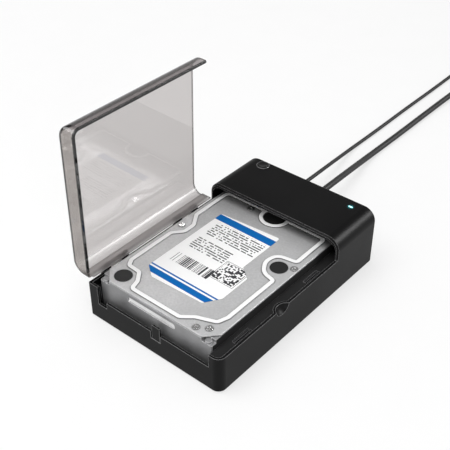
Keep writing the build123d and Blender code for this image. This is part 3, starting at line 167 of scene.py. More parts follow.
def calc(tree, operation, *values, clamp=False):
    return put(tree, "ShaderNodeMath", dict(enumerate(values)), operation=operation, use_clamp=clamp).outputs[0]


# Maps one range to another, clamped.
def spanTo(tree, value, low, high, newLow, newHigh):
    return put(tree, "ShaderNodeMapRange", {"Value": value, "From Min": low, "From Max": high, "To Min": newLow,
                                            "To Max": newHigh}).outputs[0]


def blend(tree, factor, first, second):
    mixed = put(tree, "ShaderNodeMix", data_type="RGBA")
    for place, value in ((0, factor), (6, first), (7, second)):
        if isinstance(value, bpy.types.NodeSocket):
            tree.links.new(value, mixed.inputs[place])
        else:
            mixed.inputs[place].default_value = value if place == 0 else (*value, 1)
    return mixed.outputs[2]


# An empty shader group with number inputs and the outputs named. Gives the tree and its two ends.
def newGroup(name, ins, outs):
    tree = bpy.data.node_groups.new(name, "ShaderNodeTree")
    for title, value in ins.items():
        kind = "NodeSocketVector" if isinstance(value, tuple) else "NodeSocketFloat"
        socket = tree.interface.new_socket(title, in_out="INPUT", socket_type=kind)
        socket.default_value = value
    for title, kind in outs.items():
        tree.interface.new_socket(title, in_out="OUTPUT", socket_type=kind)
    return tree, tree.nodes.new("NodeGroupInput").outputs, tree.nodes.new("NodeGroupOutput")


# Fine moulded or cast skin: a height for bumps and a slow drift of tone.
def makeGrain():
    tree, given, end = newGroup("mouldedGrain", {"Size": 0.4, "Drift": 30.0},
                                {"Height": "NodeSocketFloat", "Tone": "NodeSocketFloat"})
    place = put(tree, "ShaderNodeTexCoord").outputs["Object"]
    perMetre = calc(tree, "DIVIDE", 1000.0, given["Size"])
    fine = put(tree, "ShaderNodeTexNoise", {"Vector": place, "Scale": perMetre, "Detail": 2.0,
                                            "Roughness": 0.6})
    pits = put(tree, "ShaderNodeTexVoronoi", {"Vector": place, "Scale": perMetre, "Randomness": 0.9})
    slow = put(tree, "ShaderNodeTexNoise", {"Vector": place, "Scale": given["Drift"], "Detail": 3.0})
    both = calc(tree, "ADD", fine.outputs["Fac"], calc(tree, "MULTIPLY", pits.outputs["Distance"], 0.6))
    tree.links.new(both, end.inputs["Height"])
    tree.links.new(slow.outputs["Fac"], end.inputs["Tone"])
    return tree


# Eased edges: a rounded normal, and a mask along the edges, broken up by wear; the finishes lighten their edges
# through it, partly as wear and partly as painted highlight.
def makeEdge():
    tree, given, end = newGroup("easedEdge", {"Width": 0.5, "Wear": 0.5},
                                {"Normal": "NodeSocketVector", "Mask": "NodeSocketFloat"})
    width = calc(tree, "MULTIPLY", given["Width"], 0.001)
    soft = put(tree, "ShaderNodeBevel", {"Radius": width}, samples=6)
    flat = put(tree, "ShaderNodeNewGeometry").outputs["Normal"]
    near = put(tree, "ShaderNodeVectorMath", {0: soft.outputs[0], 1: flat},
               operation="DOT_PRODUCT").outputs["Value"]
    place = put(tree, "ShaderNodeTexCoord").outputs["Object"]
    rub = put(tree, "ShaderNodeTexNoise", {"Vector": place, "Scale": 420.0, "Detail": 4.0}).outputs["Fac"]
    broken = calc(tree, "MULTIPLY", given["Wear"], rub)
    edge = spanTo(tree, near, 0.998, 0.9, 0.0, 1.0)
    wornAndLitEdge = calc(tree, "MULTIPLY", edge, calc(tree, "SUBTRACT", 1.0, broken), clamp=True)
    tree.links.new(soft.outputs[0], end.inputs["Normal"])
    tree.links.new(wornAndLitEdge, end.inputs["Mask"])
    return tree


# Fine drawn lines along one direction, for rolled and brushed metal.
def makeBrushed():
    tree, given, end = newGroup("drawnLines", {"Spread": (1.0, 0.05, 1.0), "Fineness": 2500.0},
                                {"Height": "NodeSocketFloat", "Tone": "NodeSocketFloat"})
    place = put(tree, "ShaderNodeTexCoord").outputs["Object"]
    drawn = put(tree, "ShaderNodeVectorMath", {0: place, 1: given["Spread"]}, operation="MULTIPLY").outputs[0]
    lines = put(tree, "ShaderNodeTexNoise", {"Vector": drawn, "Scale": given["Fineness"], "Detail": 3.0})
    slow = put(tree, "ShaderNodeTexNoise", {"Vector": place, "Scale": 45.0, "Detail": 4.0, "Roughness": 0.6})
    tree.links.new(lines.outputs["Fac"], end.inputs["Height"])
    tone = calc(tree, "MULTIPLY", lines.outputs["Fac"], slow.outputs["Fac"])
    tree.links.new(tone, end.inputs["Tone"])
    return tree


# A little dust on what faces up, in patches.
def makeDust():
    tree, given, end = newGroup("restingDust", {"Amount": 0.2}, {"Mask": "NodeSocketFloat"})
    facing = put(tree, "ShaderNodeSeparateXYZ",
                 {0: put(tree, "ShaderNodeNewGeometry").outputs["Normal"]}).outputs["Z"]
    place = put(tree, "ShaderNodeTexCoord").outputs["Object"]
    patches = put(tree, "ShaderNodeTexNoise", {"Vector": place, "Scale": 55.0, "Detail": 8.0, "Roughness": 0.7})
    specks = put(tree, "ShaderNodeTexNoise", {"Vector": place, "Scale": 1700.0, "Detail": 2.0}).outputs["Fac"]
    settled = calc(tree, "MULTIPLY", spanTo(tree, facing, 0.5, 1.0, 0.0, 1.0), patches.outputs["Fac"])
    some = calc(tree, "MULTIPLY", settled, spanTo(tree, specks, 0.45, 0.7, 0.2, 1.0))
    tree.links.new(calc(tree, "MULTIPLY", some, given["Amount"], clamp=True), end.inputs["Mask"])
    return tree


# A mask of a box in the plane of two of the object's axes, in mm from the middle of the base.
def makeField():
    tree, given, end = newGroup("printedField", {"Across": 0.0, "Along": 0.0, "Centre X": 0.0, "Centre Y": 0.0,
                                                 "Half X": 1.0, "Half Y": 1.0}, {"Mask": "NodeSocketFloat"})
    insides = []
    for value, centre, half in (("Across", "Centre X", "Half X"), ("Along", "Centre Y", "Half Y")):
        off = calc(tree, "ABSOLUTE", calc(tree, "SUBTRACT", given[value], given[centre]))
        insides.append(calc(tree, "LESS_THAN", off, given[half]))
    tree.links.new(calc(tree, "MULTIPLY", *insides), end.inputs["Mask"])
    return tree


toneReach = (0.3, 0.7)  # where the slow drift of tone starts and ends
lineReach = (0.1, 0.4)  # the same for drawn lines
dustTone = (0.4, 0.39, 0.37)
grainGroup = makeGrain()
edgeGroup = makeEdge()
brushedGroup = makeBrushed()
dustGroup = makeDust()
fieldGroup = makeField()


def useGroup(tree, group, **sockets):
    made = put(tree, "ShaderNodeGroup", node_tree=group)
    for name, value in sockets.items():
        socket = made.inputs[name.replace("_", " ")]
        if isinstance(value, bpy.types.NodeSocket):
            tree.links.new(value, socket)
        else:
            socket.default_value = value
    return made.outputs


# A new material. Gives it with its tree and its Principled shader.
def newFinish(name):
    material = bpy.data.materials.new(name)
    material.use_nodes = True
    tree = material.node_tree
    return material, tree, tree.nodes["Principled BSDF"]


def setSockets(shader, values):
    for name, value in values.items():
        shader.inputs[name].default_value = (*value, 1) if isinstance(value, tuple) else value


def join(tree, source, shader, name):
    tree.links.new(source, shader.inputs[name])


# A bump, depth in mm, over another normal where there is one.
def bumpOver(tree, height, depth, normal=None):
    sockets = {"Height": height, "Strength": 1.0, "Distance": depth / 1000}
    if normal is not None:
        sockets["Normal"] = normal
    return put(tree, "ShaderNodeBump", sockets).outputs[0]


# Moulded plastic pieces: colour, how much its tone drifts, gloss, skin and edges
def moulded(name, colour, rough=0.45, grain=0.35, depth=0.012, edge=0.5, wornAndLitEdge=1.6, dust=0.04, specular=0.5):
    material, tree, shader = newFinish(name)
    skin = useGroup(tree, grainGroup, Size=grain)
    rim = useGroup(tree, edgeGroup, Width=edge)
    darker = tuple(c * 0.8 for c in colour)
    lighter = tuple(min(c * 1.2, 1) for c in colour)
    # a large edge factor, as on the inner case, paints a highlight along the edges; small factors stand for
    # wear
    edgeTone = tuple(min(c * wornAndLitEdge + 0.004, 1) for c in colour)
    tone = blend(tree, spanTo(tree, skin["Tone"], *toneReach, 0.0, 1.0), darker, lighter)
    tone = blend(tree, rim["Mask"], tone, edgeTone)
    settled = useGroup(tree, dustGroup, Amount=dust)["Mask"]
    join(tree, blend(tree, settled, tone, dustTone), shader, "Base Color")
    join(tree, spanTo(tree, skin["Tone"], *toneReach, rough - 0.05, rough + 0.05), shader, "Roughness")
    join(tree, bumpOver(tree, skin["Height"], depth, rim["Normal"]), shader, "Normal")
    setSockets(shader, {"Specular IOR Level": specular})
    return material


# Plated, rolled and brushed metal pieces
def metal(name, colour, rough=0.3, spread=(1.0, 0.06, 1.0), fineness=2600.0, depth=0.006, edge=0.3):
    material, tree, shader = newFinish(name)
    drawn = useGroup(tree, brushedGroup, Spread=spread, Fineness=fineness)
    rim = useGroup(tree, edgeGroup, Width=edge)
    darker = tuple(c * 0.72 for c in colour)
    lighter = tuple(min(c * 1.25, 1) for c in colour)
    tone = blend(tree, spanTo(tree, drawn["Tone"], *lineReach, 0.0, 1.0), darker, colour)
    join(tree, blend(tree, calc(tree, "MULTIPLY", rim["Mask"], 0.6), tone, lighter), shader, "Base Color")
    join(tree, spanTo(tree, drawn["Tone"], *lineReach, rough + 0.08, rough - 0.05), shader, "Roughness")
    join(tree, bumpOver(tree, drawn["Height"], depth, rim["Normal"]), shader, "Normal")
    setSockets(shader, {"Metallic": 1.0})
    return material


finishes = {
    # inner case: its pale edges are a painted highlight
    "inner_case": moulded("innerCase", (0.015, 0.015, 0.0155), rough=0.5, wornAndLitEdge=14.0, dust=0.02, specular=0.15),
    "button": moulded("buttonCap", (0.006, 0.006, 0.0063), rough=0.3, grain=0.2, depth=0.004, dust=0.01,
                      specular=0.25),
    "trim": moulded("trimRing", (0.05, 0.05, 0.052), rough=0.16, grain=0.2, depth=0.002, wornAndLitEdge=6.0, dust=0.0,
                    specular=0.9),
    "plunger": moulded("plungerWhite", (0.62, 0.62, 0.6), rough=0.4, wornAndLitEdge=1.05, dust=0.0),
    "switch": moulded("socketBlack", (0.013, 0.013, 0.013), rough=0.42, grain=0.25, dust=0.0),
    "led": moulded("ledBody", (0.85, 0.9, 0.9), rough=0.3, wornAndLitEdge=1.0, dust=0.0),
    "chips": moulded("chipEpoxy", (0.012, 0.012, 0.013), rough=0.55, grain=0.12, depth=0.008, dust=0.0),
    "choke": moulded("chokeFerrite", (0.1, 0.1, 0.11), rough=0.6, grain=0.2, depth=0.02, dust=0.0),
    "drive_plastic": moulded("driveSocket", (0.01, 0.01, 0.01), rough=0.4, dust=0.0),
    "plugs": moulded("plugShell", (0.012, 0.012, 0.0125), rough=0.42, grain=0.3, depth=0.01, wornAndLitEdge=1.8),
    "ties": moulded("tieNylon", (0.011, 0.011, 0.011), rough=0.35, grain=0.5, depth=0.01),
    "adapter": moulded("adapterShell", (0.012, 0.012, 0.0125), rough=0.4, grain=0.6, depth=0.02, edge=0.8),
    "port_steel": metal("portSteel", (0.66, 0.66, 0.67), rough=0.28),
    "contacts": metal("contactGold", (0.83, 0.62, 0.27), rough=0.25),
    "cans": metal("canAluminium", (0.72, 0.73, 0.75), rough=0.3, spread=(0.3, 0.3, 1.0)),
    "screws": metal("screwBlack", (0.06, 0.06, 0.063), rough=0.35, fineness=900.0),
    "pins": metal("pinSteel", (0.55, 0.55, 0.56), rough=0.25),
    "drive_steel": metal("driveScrewSteel", (0.6, 0.6, 0.6), rough=0.25, spread=(1.0, 1.0, 1.0),
                         fineness=1500.0),
    "nickel": metal("plugNickel", (0.72, 0.69, 0.64), rough=0.2),
}


# The object's own coordinates, in mm from the middle of the base.
def inMillimetres(tree):
    place = put(tree, "ShaderNodeTexCoord").outputs["Object"]
    moved = put(tree, "ShaderNodeVectorMath", {0: place, 1: (-midX / 1000, 0, 0)}, operation="ADD").outputs[0]
    scaled = put(tree, "ShaderNodeVectorMath", {0: moved, "Scale": 1000.0}, operation="SCALE").outputs[0]
    return scaled, put(tree, "ShaderNodeSeparateXYZ", {0: scaled}).outputs


# Case: satin black, with the light's glow on the skin round it, and a pale edge colour that paints a highlight
# along its edges
case = {
    "colour": (0.004, 0.0039, 0.0042),
    "drift": (0.0055, 0.0054, 0.0057),
    # painted highlight: the pale colour along the case's edges
    "edgeTone": (0.3, 0.3, 0.303),
    "roughness": (0.36, 0.44),
    "grain": 0.32,
    "grainDepth": 0.01,
    "edge": 0.6,
    "dust": 0.005,
    "specular": 0.085,
    "glow": (0.0, 0.12, 0.13),
    "light": (41.9, 80.2, 47.4),
    "glowReach": (1.6, 3.4),
    "toneReach": (0.35, 0.65),
    "drifting": 24.0,
    "wear": 0.4,
}


def makeCase():
    material, tree, shader = newFinish("casePlastic")
    skin = useGroup(tree, grainGroup, Size=case["grain"], Drift=case["drifting"])
    rim = useGroup(tree, edgeGroup, Width=case["edge"], Wear=case["wear"])
    tone = blend(tree, spanTo(tree, skin["Tone"], *case["toneReach"], 0.0, 1.0), case["colour"], case["drift"])
    # painted highlight along the edges, through the edge mask
    tone = blend(tree, rim["Mask"], tone, case["edgeTone"])
    settled = useGroup(tree, dustGroup, Amount=case["dust"])["Mask"]
    join(tree, blend(tree, settled, tone, dustTone), shader, "Base Color")
    place, _ = inMillimetres(tree)
    away = put(tree, "ShaderNodeVectorMath", {0: place, 1: case["light"]},
               operation="DISTANCE").outputs["Value"]
    near = spanTo(tree, away, *case["glowReach"], 1.0, 0.0)
    join(tree, blend(tree, calc(tree, "POWER", near, 2.0), (0, 0, 0), case["glow"]), shader, "Emission Color")
    join(tree, spanTo(tree, skin["Tone"], *toneReach, *case["roughness"]), shader, "Roughness")
    join(tree, bumpOver(tree, skin["Height"], case["grainDepth"], rim["Normal"]), shader, "Normal")
    setSockets(shader, {"Specular IOR Level": case["specular"], "Emission Strength": 1.0})
    return material


finishes["case"] = makeCase()

# Cover: clear plastic tinted smoke grey, polished, with faint hairlines
smoke = {
    "tint": (0.16, 0.09, 0.07),
    "density": 250.0,
    "roughness": (0.012, 0.05),
    "edge": 0.45,
    "hinge": (-60.2, 30.5),
    "angle": 89.2,
    "latchFrom": 117.2,  # across the cover, from the hinge
    "edgeUpTo": 0.9,     # above the hinge when shut
    "frontUpTo": -85.6,
    "rearFrom": 35.8,
    "rearTint": (0.35, 0.35, 0.35),
    "shoulder": (8.0, 113.0),  # above and across the hinge, where the rounded edge turns away
    "shoulderFrom": -82.0,
    "latchTint": (0.62, 0.6, 0.61),
    "frontTint": (0.85, 0.84, 0.81),
    "edgeTint": (0.012, 0.012, 0.012),
    "frost": 0.55,             # the hinge side is frosted
    "frostAcross": (5.0, 7.0),
    "lipFrom": 6.0,
    "grazing": (0.62, 0.84),
    "hairlines": {"Spread": (0.2, 0.05, 1.0), "Fineness": 260.0},
    "wave": {"Size": 6.0, "Drift": 9.0},
    "waveDepth": 0.0008,
    "bend": 1.49,
}


def makeSmoke():
    material, tree, shader = newFinish("smokeCover")
    rim = useGroup(tree, edgeGroup, Width=smoke["edge"], Wear=0.0)
    lines = useGroup(tree, brushedGroup, **smoke["hairlines"])
    skin = useGroup(tree, grainGroup, **smoke["wave"])
    join(tree, bumpOver(tree, skin["Height"], smoke["waveDepth"], rim["Normal"]), shader, "Normal")
    _, axes = inMillimetres(tree)
    right = calc(tree, "SUBTRACT", axes["X"], smoke["hinge"][0])
    up = calc(tree, "SUBTRACT", axes["Z"], smoke["hinge"][1])
    swing = radians(smoke["angle"])
    across = calc(tree, "ADD", calc(tree, "MULTIPLY", right, cos(swing)),
                  calc(tree, "MULTIPLY", up, sin(swing)))
    above = calc(tree, "SUBTRACT", calc(tree, "MULTIPLY", up, cos(swing)),
                 calc(tree, "MULTIPLY", right, sin(swing)))
    frosted = spanTo(tree, across, *smoke["frostAcross"], smoke["frost"], 0.0)
    polish = spanTo(tree, lines["Tone"], 0.3, 0.5, *smoke["roughness"])
    join(tree, calc(tree, "MAXIMUM", frosted, polish), shader, "Roughness")
    latch = calc(tree, "GREATER_THAN", across, smoke["latchFrom"])
    front = calc(tree, "LESS_THAN", axes["Y"], smoke["frontUpTo"])
    lip = calc(tree, "LESS_THAN", above, smoke["edgeUpTo"])
    edge = calc(tree, "MULTIPLY", lip, calc(tree, "GREATER_THAN", across, smoke["lipFrom"]))
    tone = blend(tree, front, (1.0, 1.0, 1.0), smoke["frontTint"])
    tone = blend(tree, latch, tone, smoke["latchTint"])
    tone = blend(tree, edge, tone, smoke["edgeTint"])
    tone = blend(tree, calc(tree, "GREATER_THAN", axes["Y"], smoke["rearFrom"]), tone, smoke["rearTint"])
    shoulder = calc(tree, "MULTIPLY", calc(tree, "GREATER_THAN", above, smoke["shoulder"][0]),
                    calc(tree, "GREATER_THAN", across, smoke["shoulder"][1]))
    shoulder = calc(tree, "MULTIPLY", shoulder, calc(tree, "GREATER_THAN", axes["Y"], smoke["shoulderFrom"]))
    tone = blend(tree, shoulder, tone, smoke["edgeTint"])
    grazing = put(tree, "ShaderNodeLayerWeight", {"Blend": 0.5}).outputs["Facing"]
    tone = blend(tree, spanTo(tree, grazing, *smoke["grazing"], 0.0, 1.0), tone, smoke["edgeTint"])
    join(tree, tone, shader, "Base Color")
    setSockets(shader, {"Transmission Weight": 1.0, "IOR": smoke["bend"]})
    body = put(tree, "ShaderNodeVolumeAbsorption", {"Color": (*smoke["tint"], 1), "Density": smoke["density"]})
    tree.links.new(body.outputs[0], tree.nodes["Material Output"].inputs["Volume"])
    return material


finishes["smoke"] = makeSmoke()

# Light: a clear pill, lit from below
pill = {
    "middle": (0.75, 1.0, 1.0),
    "rim": (0.0, 0.62, 0.66),
    "body": (0.5, 0.85, 0.88),
    "strength": 1.1,
    "squeeze": 0.42,        # how much longer than wide it glows
    "fade": (0.35, 0.75),
    "frost": 0.3,
    "roughness": (0.2, 0.4),
}


def makeLight():
    material, tree, shader = newFinish("lightPill")
    _, axes = inMillimetres(tree)
    along = calc(tree, "MULTIPLY", calc(tree, "SUBTRACT", axes["X"], case["light"][0]), pill["squeeze"])
    across = calc(tree, "SUBTRACT", axes["Y"], case["light"][1])
    off = calc(tree, "SQRT", calc(tree, "ADD", calc(tree, "POWER", along, 2.0),
                                  calc(tree, "POWER", across, 2.0)))
    join(tree, blend(tree, spanTo(tree, off, *pill["fade"], 0.0, 1.0), pill["middle"], pill["rim"]), shader,
         "Emission Color")
    frost = useGroup(tree, grainGroup, Size=pill["frost"])
    join(tree, spanTo(tree, frost["Height"], 0.3, 1.0, *pill["roughness"]), shader, "Roughness")
    setSockets(shader, {"Base Color": pill["body"], "Emission Strength": pill["strength"]})
    return material


finishes["light"] = makeLight()

# Rubber feet and the cords' jackets
rubber = {
    "feet": {"name": "footRubber", "colour": (0.012, 0.012, 0.012), "drift": (0.02, 0.02, 0.02),
             "roughness": (0.62, 0.78), "grain": 0.4, "specular": 0.3},
    "cord": {"name": "cordJacket", "colour": (0.018, 0.018, 0.0185), "drift": (0.028, 0.028, 0.0285),
             "roughness": (0.42, 0.56), "grain": 0.7, "specular": 0.2},
}


def makeRubber(name, colour, drift, roughness, grain, specular, dust=0.06, depth=0.02):
    material, tree, shader = newFinish(name)
    skin = useGroup(tree, grainGroup, Size=grain, Drift=60.0)
    tone = blend(tree, spanTo(tree, skin["Tone"], *toneReach, 0.0, 1.0), colour, drift)
    settled = useGroup(tree, dustGroup, Amount=dust)["Mask"]
    join(tree, blend(tree, settled, tone, dustTone), shader, "Base Color")
    join(tree, spanTo(tree, skin["Tone"], *toneReach, *roughness), shader, "Roughness")
    join(tree, bumpOver(tree, skin["Height"], depth), shader, "Normal")
    setSockets(shader, {"Specular IOR Level": specular})
    return material


for slot, values in rubber.items():
    finishes[slot] = makeRubber(**values)

# Boards: green mask over copper tracks
board = {
    "mask": (0.006, 0.06, 0.03),
    "track": (0.02, 0.13, 0.06),
    "weave": (0.01, 0.09, 0.045),
    "weaveShare": 0.12,
    "trackReach": (0.02, 0.05),
    "trackDepth": 0.03,
    "roughness": (0.28, 0.4),
}


def makeBoard():
    material, tree, shader = newFinish("boardMask")
    place, _ = inMillimetres(tree)
    cells = put(tree, "ShaderNodeTexVoronoi", {"Vector": place, "Scale": 0.35}, feature="DISTANCE_TO_EDGE")
    tracks = spanTo(tree, cells.outputs["Distance"], *board["trackReach"], 1.0, 0.0)
    weave = put(tree, "ShaderNodeTexChecker", {"Vector": place, "Scale": 2.2}).outputs["Fac"]
    base = blend(tree, tracks, board["mask"], board["track"])
    woven = calc(tree, "MULTIPLY", weave, board["weaveShare"])
    join(tree, blend(tree, woven, base, board["weave"]), shader, "Base Color")
    join(tree, spanTo(tree, tracks, 0.0, 1.0, *board["roughness"]), shader, "Roughness")
    join(tree, bumpOver(tree, tracks, board["trackDepth"]), shader, "Normal")
    return material


finishes["board"] = makeBoard()

# The drive's body: cast aluminium, with the pale strip in its front end and painted shade on its right side
casting = {
    "colour": (0.23, 0.23, 0.234),
    "pale": (0.32, 0.32, 0.325),
    # painted shade: the dark colour of the drive's right side
    "side": (0.016, 0.016, 0.0165),
    "shadedSideFrom": 47.6,
    "roughness": (0.4, 0.55),
    "strip": {"Centre_X": -5.5, "Centre_Y": 28.8, "Half_X": 21.0, "Half_Y": 1.9},
    "stripTo": -81.0,
    "stripColour": (0.9, 0.9, 0.9),
    "edgeTone": (0.75, 0.75, 0.76),
    "rubShare": 0.8,
    "edge": {"Width": 0.6, "Wear": 0.6},
    "grain": {"Size": 0.7, "Drift": 70.0},
    "grainDepth": 0.05,
    "metallic": 0.4,
}


def makeCasting():
    material, tree, shader = newFinish("driveCasting")
    skin = useGroup(tree, grainGroup, **casting["grain"])
    rim = useGroup(tree, edgeGroup, **casting["edge"])
    tone = blend(tree, spanTo(tree, skin["Tone"], *toneReach, 0.0, 1.0), casting["colour"], casting["pale"])
    tone = blend(tree, calc(tree, "MULTIPLY", rim["Mask"], casting["rubShare"]), tone, casting["edgeTone"])
    _, axes = inMillimetres(tree)
    strip = useGroup(tree, fieldGroup, Across=axes["X"], Along=axes["Z"], **casting["strip"])["Mask"]
    front = calc(tree, "MULTIPLY", strip, calc(tree, "LESS_THAN", axes["Y"], casting["stripTo"]))
    tone = blend(tree, front, tone, casting["stripColour"])
    # painted shade: the drive's right side is coloured dark
    side = calc(tree, "GREATER_THAN", axes["X"], casting["shadedSideFrom"])
    join(tree, blend(tree, side, tone, casting["side"]), shader, "Base Color")
    join(tree, spanTo(tree, skin["Tone"], *toneReach, *casting["roughness"]), shader, "Roughness")
    join(tree, bumpOver(tree, skin["Height"], casting["grainDepth"], rim["Normal"]), shader, "Normal")
    setSockets(shader, {"Metallic": casting["metallic"]})
    return material


finishes["casting"] = makeCasting()

# The drive's lid: satin sheet, its pressed seam painted brighter than the flat as a highlight, with painted
# shade at its foot and towards the hood
lid = {
    "flat": (0.5, 0.5, 0.505),
    "drift": (0.6, 0.6, 0.605),
    # painted highlight on the top of the pressed seam
    "seam": (0.93, 0.93, 0.93),
    # painted shade at the foot of the seam
    "foot": (0.05, 0.05, 0.052),
    "footShadeReach": 0.0014,
    "metallic": 0.35,
    "shade": (0.06, 0.06, 0.06),
    "shadeAlong": (38.8, 52.0),  # towards the hood
    "shadePower": 0.8,
    "seamRise": (35.25, 35.45),
    "footShadeSpan": (0.62, 0.96),
    "toneReach": (0.12, 0.4),
    "roughness": (0.5, 0.38),
    "edge": {"Width": 1.0, "Wear": 0.1},
    "drawn": {"Spread": (0.35, 0.35, 1.0), "Fineness": 1800.0},
    "drawnDepth": 0.004,
}


def makeLid():
    material, tree, shader = newFinish("driveLid")
    drawn = useGroup(tree, brushedGroup, **lid["drawn"])
    rim = useGroup(tree, edgeGroup, **lid["edge"])
    _, axes = inMillimetres(tree)
    raised = spanTo(tree, axes["Z"], *lid["seamRise"], 0.0, 1.0)
    tone = blend(tree, spanTo(tree, drawn["Tone"], *lid["toneReach"], 0.0, 1.0), lid["flat"], lid["drift"])
    # painted shade where the flat meets the seam, read from ambient occlusion
    closed = put(tree, "ShaderNodeAmbientOcclusion", {"Distance": lid["footShadeReach"]}, samples=8).outputs["AO"]
    foot = calc(tree, "MULTIPLY", spanTo(tree, closed, *lid["footShadeSpan"], 1.0, 0.0),
                calc(tree, "SUBTRACT", 1.0, raised))
    tone = blend(tree, foot, tone, lid["foot"])
    under = calc(tree, "POWER", spanTo(tree, axes["Y"], *lid["shadeAlong"], 0.0, 1.0), lid["shadePower"])
    tone = blend(tree, under, tone, lid["shade"])
    # the raised seam takes the painted highlight colour
    join(tree, blend(tree, raised, tone, lid["seam"]), shader, "Base Color")
    join(tree, spanTo(tree, drawn["Tone"], *lineReach, *lid["roughness"]), shader, "Roughness")
    join(tree, bumpOver(tree, drawn["Height"], lid["drawnDepth"], rim["Normal"]), shader, "Normal")
    join(tree, spanTo(tree, raised, 0.0, 1.0, lid["metallic"], 0.0), shader, "Metallic")
    return material


finishes["lid"] = makeLid()

# The drive's label: a plain layout of stripes, ruled rows and bars, with nothing to read
label = {
    "paper": (0.94, 0.94, 0.94),
    "blue": (0.0, 0.13, 0.44),
    "ink": (0.05, 0.05, 0.055),
    "stripes": [(-4.8, 21.5, 40.0, 3.4), (-4.8, -54.5, 40.0, 2.6), (-4.8, -49.6, 40.0, 0.7)],
    "rows": [(-8.0, 8.0, 22.0, 8.6), (-14.0, -12.5, 16.0, 7.4)],
    "rowPitch": 2.35,
    "rowShare": 0.45,
    "dash": 1.15,
    "dashGap": 0.3,
    "barWidth": 0.42,
    "barGap": 0.5,
    "cell": 1.2,
    "cellGap": 0.48,
    "ring": 0.35,
    "inset": 1.1,
    "bars": [(-12.0, -33.5, 17.0, 5.2)],
    "boxes": [(14.0, -24.5, 10.5, 10.5)],
    "fibre": {"Size": 1.4, "Drift": 35.0},
    "fibreDepth": 0.006,
    "roughness": (0.32, 0.42),
    "specular": 0.12,
}


def makeLabel():
    material, tree, shader = newFinish("driveLabel")
    _, axes = inMillimetres(tree)

    def field(place, shrink=0.0):
        x, y, halfX, halfY = place
        return useGroup(tree, fieldGroup, Across=axes["X"], Along=axes["Y"], Centre_X=x, Centre_Y=y,
                        Half_X=halfX - shrink, Half_Y=halfY - shrink)["Mask"]

    def dashes(pitch, cell):
        row = calc(tree, "DIVIDE", axes["Y"], pitch)
        line = calc(tree, "LESS_THAN", calc(tree, "FRACT", row), label["rowShare"])
        place = {"X": calc(tree, "FLOOR", calc(tree, "DIVIDE", axes["X"], cell)), "Y": calc(tree, "FLOOR", row)}
        grid = put(tree, "ShaderNodeCombineXYZ", place).outputs[0]
        chance = put(tree, "ShaderNodeTexWhiteNoise", {"Vector": grid}, noise_dimensions="2D").outputs["Value"]
        return calc(tree, "MULTIPLY", line, calc(tree, "GREATER_THAN", chance, label["dashGap"]))

    tone = label["paper"]
    for stripe in label["stripes"]:
        tone = blend(tree, field(stripe), tone, label["blue"])
    rows = dashes(label["rowPitch"], label["dash"])
    for place in label["rows"]:
        tone = blend(tree, calc(tree, "MULTIPLY", field(place), rows), tone, label["ink"])
    column = calc(tree, "FLOOR", calc(tree, "DIVIDE", axes["X"], label["barWidth"]))
    bar = put(tree, "ShaderNodeTexWhiteNoise", {"W": column}, noise_dimensions="1D").outputs["Value"]
    barred = calc(tree, "GREATER_THAN", bar, label["barGap"])
    for place in label["bars"]:
        tone = blend(tree, calc(tree, "MULTIPLY", field(place), barred), tone, label["ink"])
    inCells = {axis: calc(tree, "DIVIDE", axes[axis], label["cell"]) for axis in "XY"}
    cells = put(tree, "ShaderNodeVectorMath", {0: put(tree, "ShaderNodeCombineXYZ", inCells).outputs[0]},
                operation="FLOOR").outputs[0]
    chance = put(tree, "ShaderNodeTexWhiteNoise", {"Vector": cells}, noise_dimensions="2D").outputs["Value"]
    patches = calc(tree, "GREATER_THAN", chance, label["cellGap"])
    for place in label["boxes"]:
        ring = calc(tree, "SUBTRACT", field(place), field(place, label["ring"]))
        tone = blend(tree, ring, tone, label["ink"])
        tone = blend(tree, calc(tree, "MULTIPLY", field(place, label["inset"]), patches), tone, label["ink"])
    join(tree, tone, shader, "Base Color")
    skin = useGroup(tree, grainGroup, **label["fibre"])
    join(tree, spanTo(tree, skin["Tone"], *toneReach, *label["roughness"]), shader, "Roughness")
    join(tree, bumpOver(tree, skin["Height"], label["fibreDepth"]), shader, "Normal")
    setSockets(shader, {"Specular IOR Level": label["specular"]})
    return material


finishes["label"] = makeLabel()

# Round foil stickers, with a paler rim
foil = {
    "colour": (0.016, 0.016, 0.016),
    "rim": (0.04, 0.04, 0.04),
    "roughness": (0.4, 0.5),
    "grain": {"Size": 0.5, "Drift": 160.0},
    "grainDepth": 0.01,
    "edge": {"Width": 0.4, "Wear": 0.3},
    "specular": 0.2,
}


def makeFoil():
    material, tree, shader = newFinish("stickerFoil")
    skin = useGroup(tree, grainGroup, **foil["grain"])
    rim = useGroup(tree, edgeGroup, **foil["edge"])
    join(tree, blend(tree, rim["Mask"], foil["colour"], foil["rim"]), shader, "Base Color")
    join(tree, spanTo(tree, skin["Tone"], *toneReach, *foil["roughness"]), shader, "Roughness")
    join(tree, bumpOver(tree, skin["Height"], foil["grainDepth"], rim["Normal"]), shader, "Normal")
    setSockets(shader, {"Specular IOR Level": foil["specular"]})
    return material


finishes["stickers"] = makeFoil()

for name, node in nodes.items():
    node.data.materials.clear()
    node.data.materials.append(finishes[slotOf[name]])
for line in (usbLine, dcLine):
    line.data.materials.append(finishes["cord"])
print("finishes on:", len(finishes))


# Pieces that the solids leave to the scene

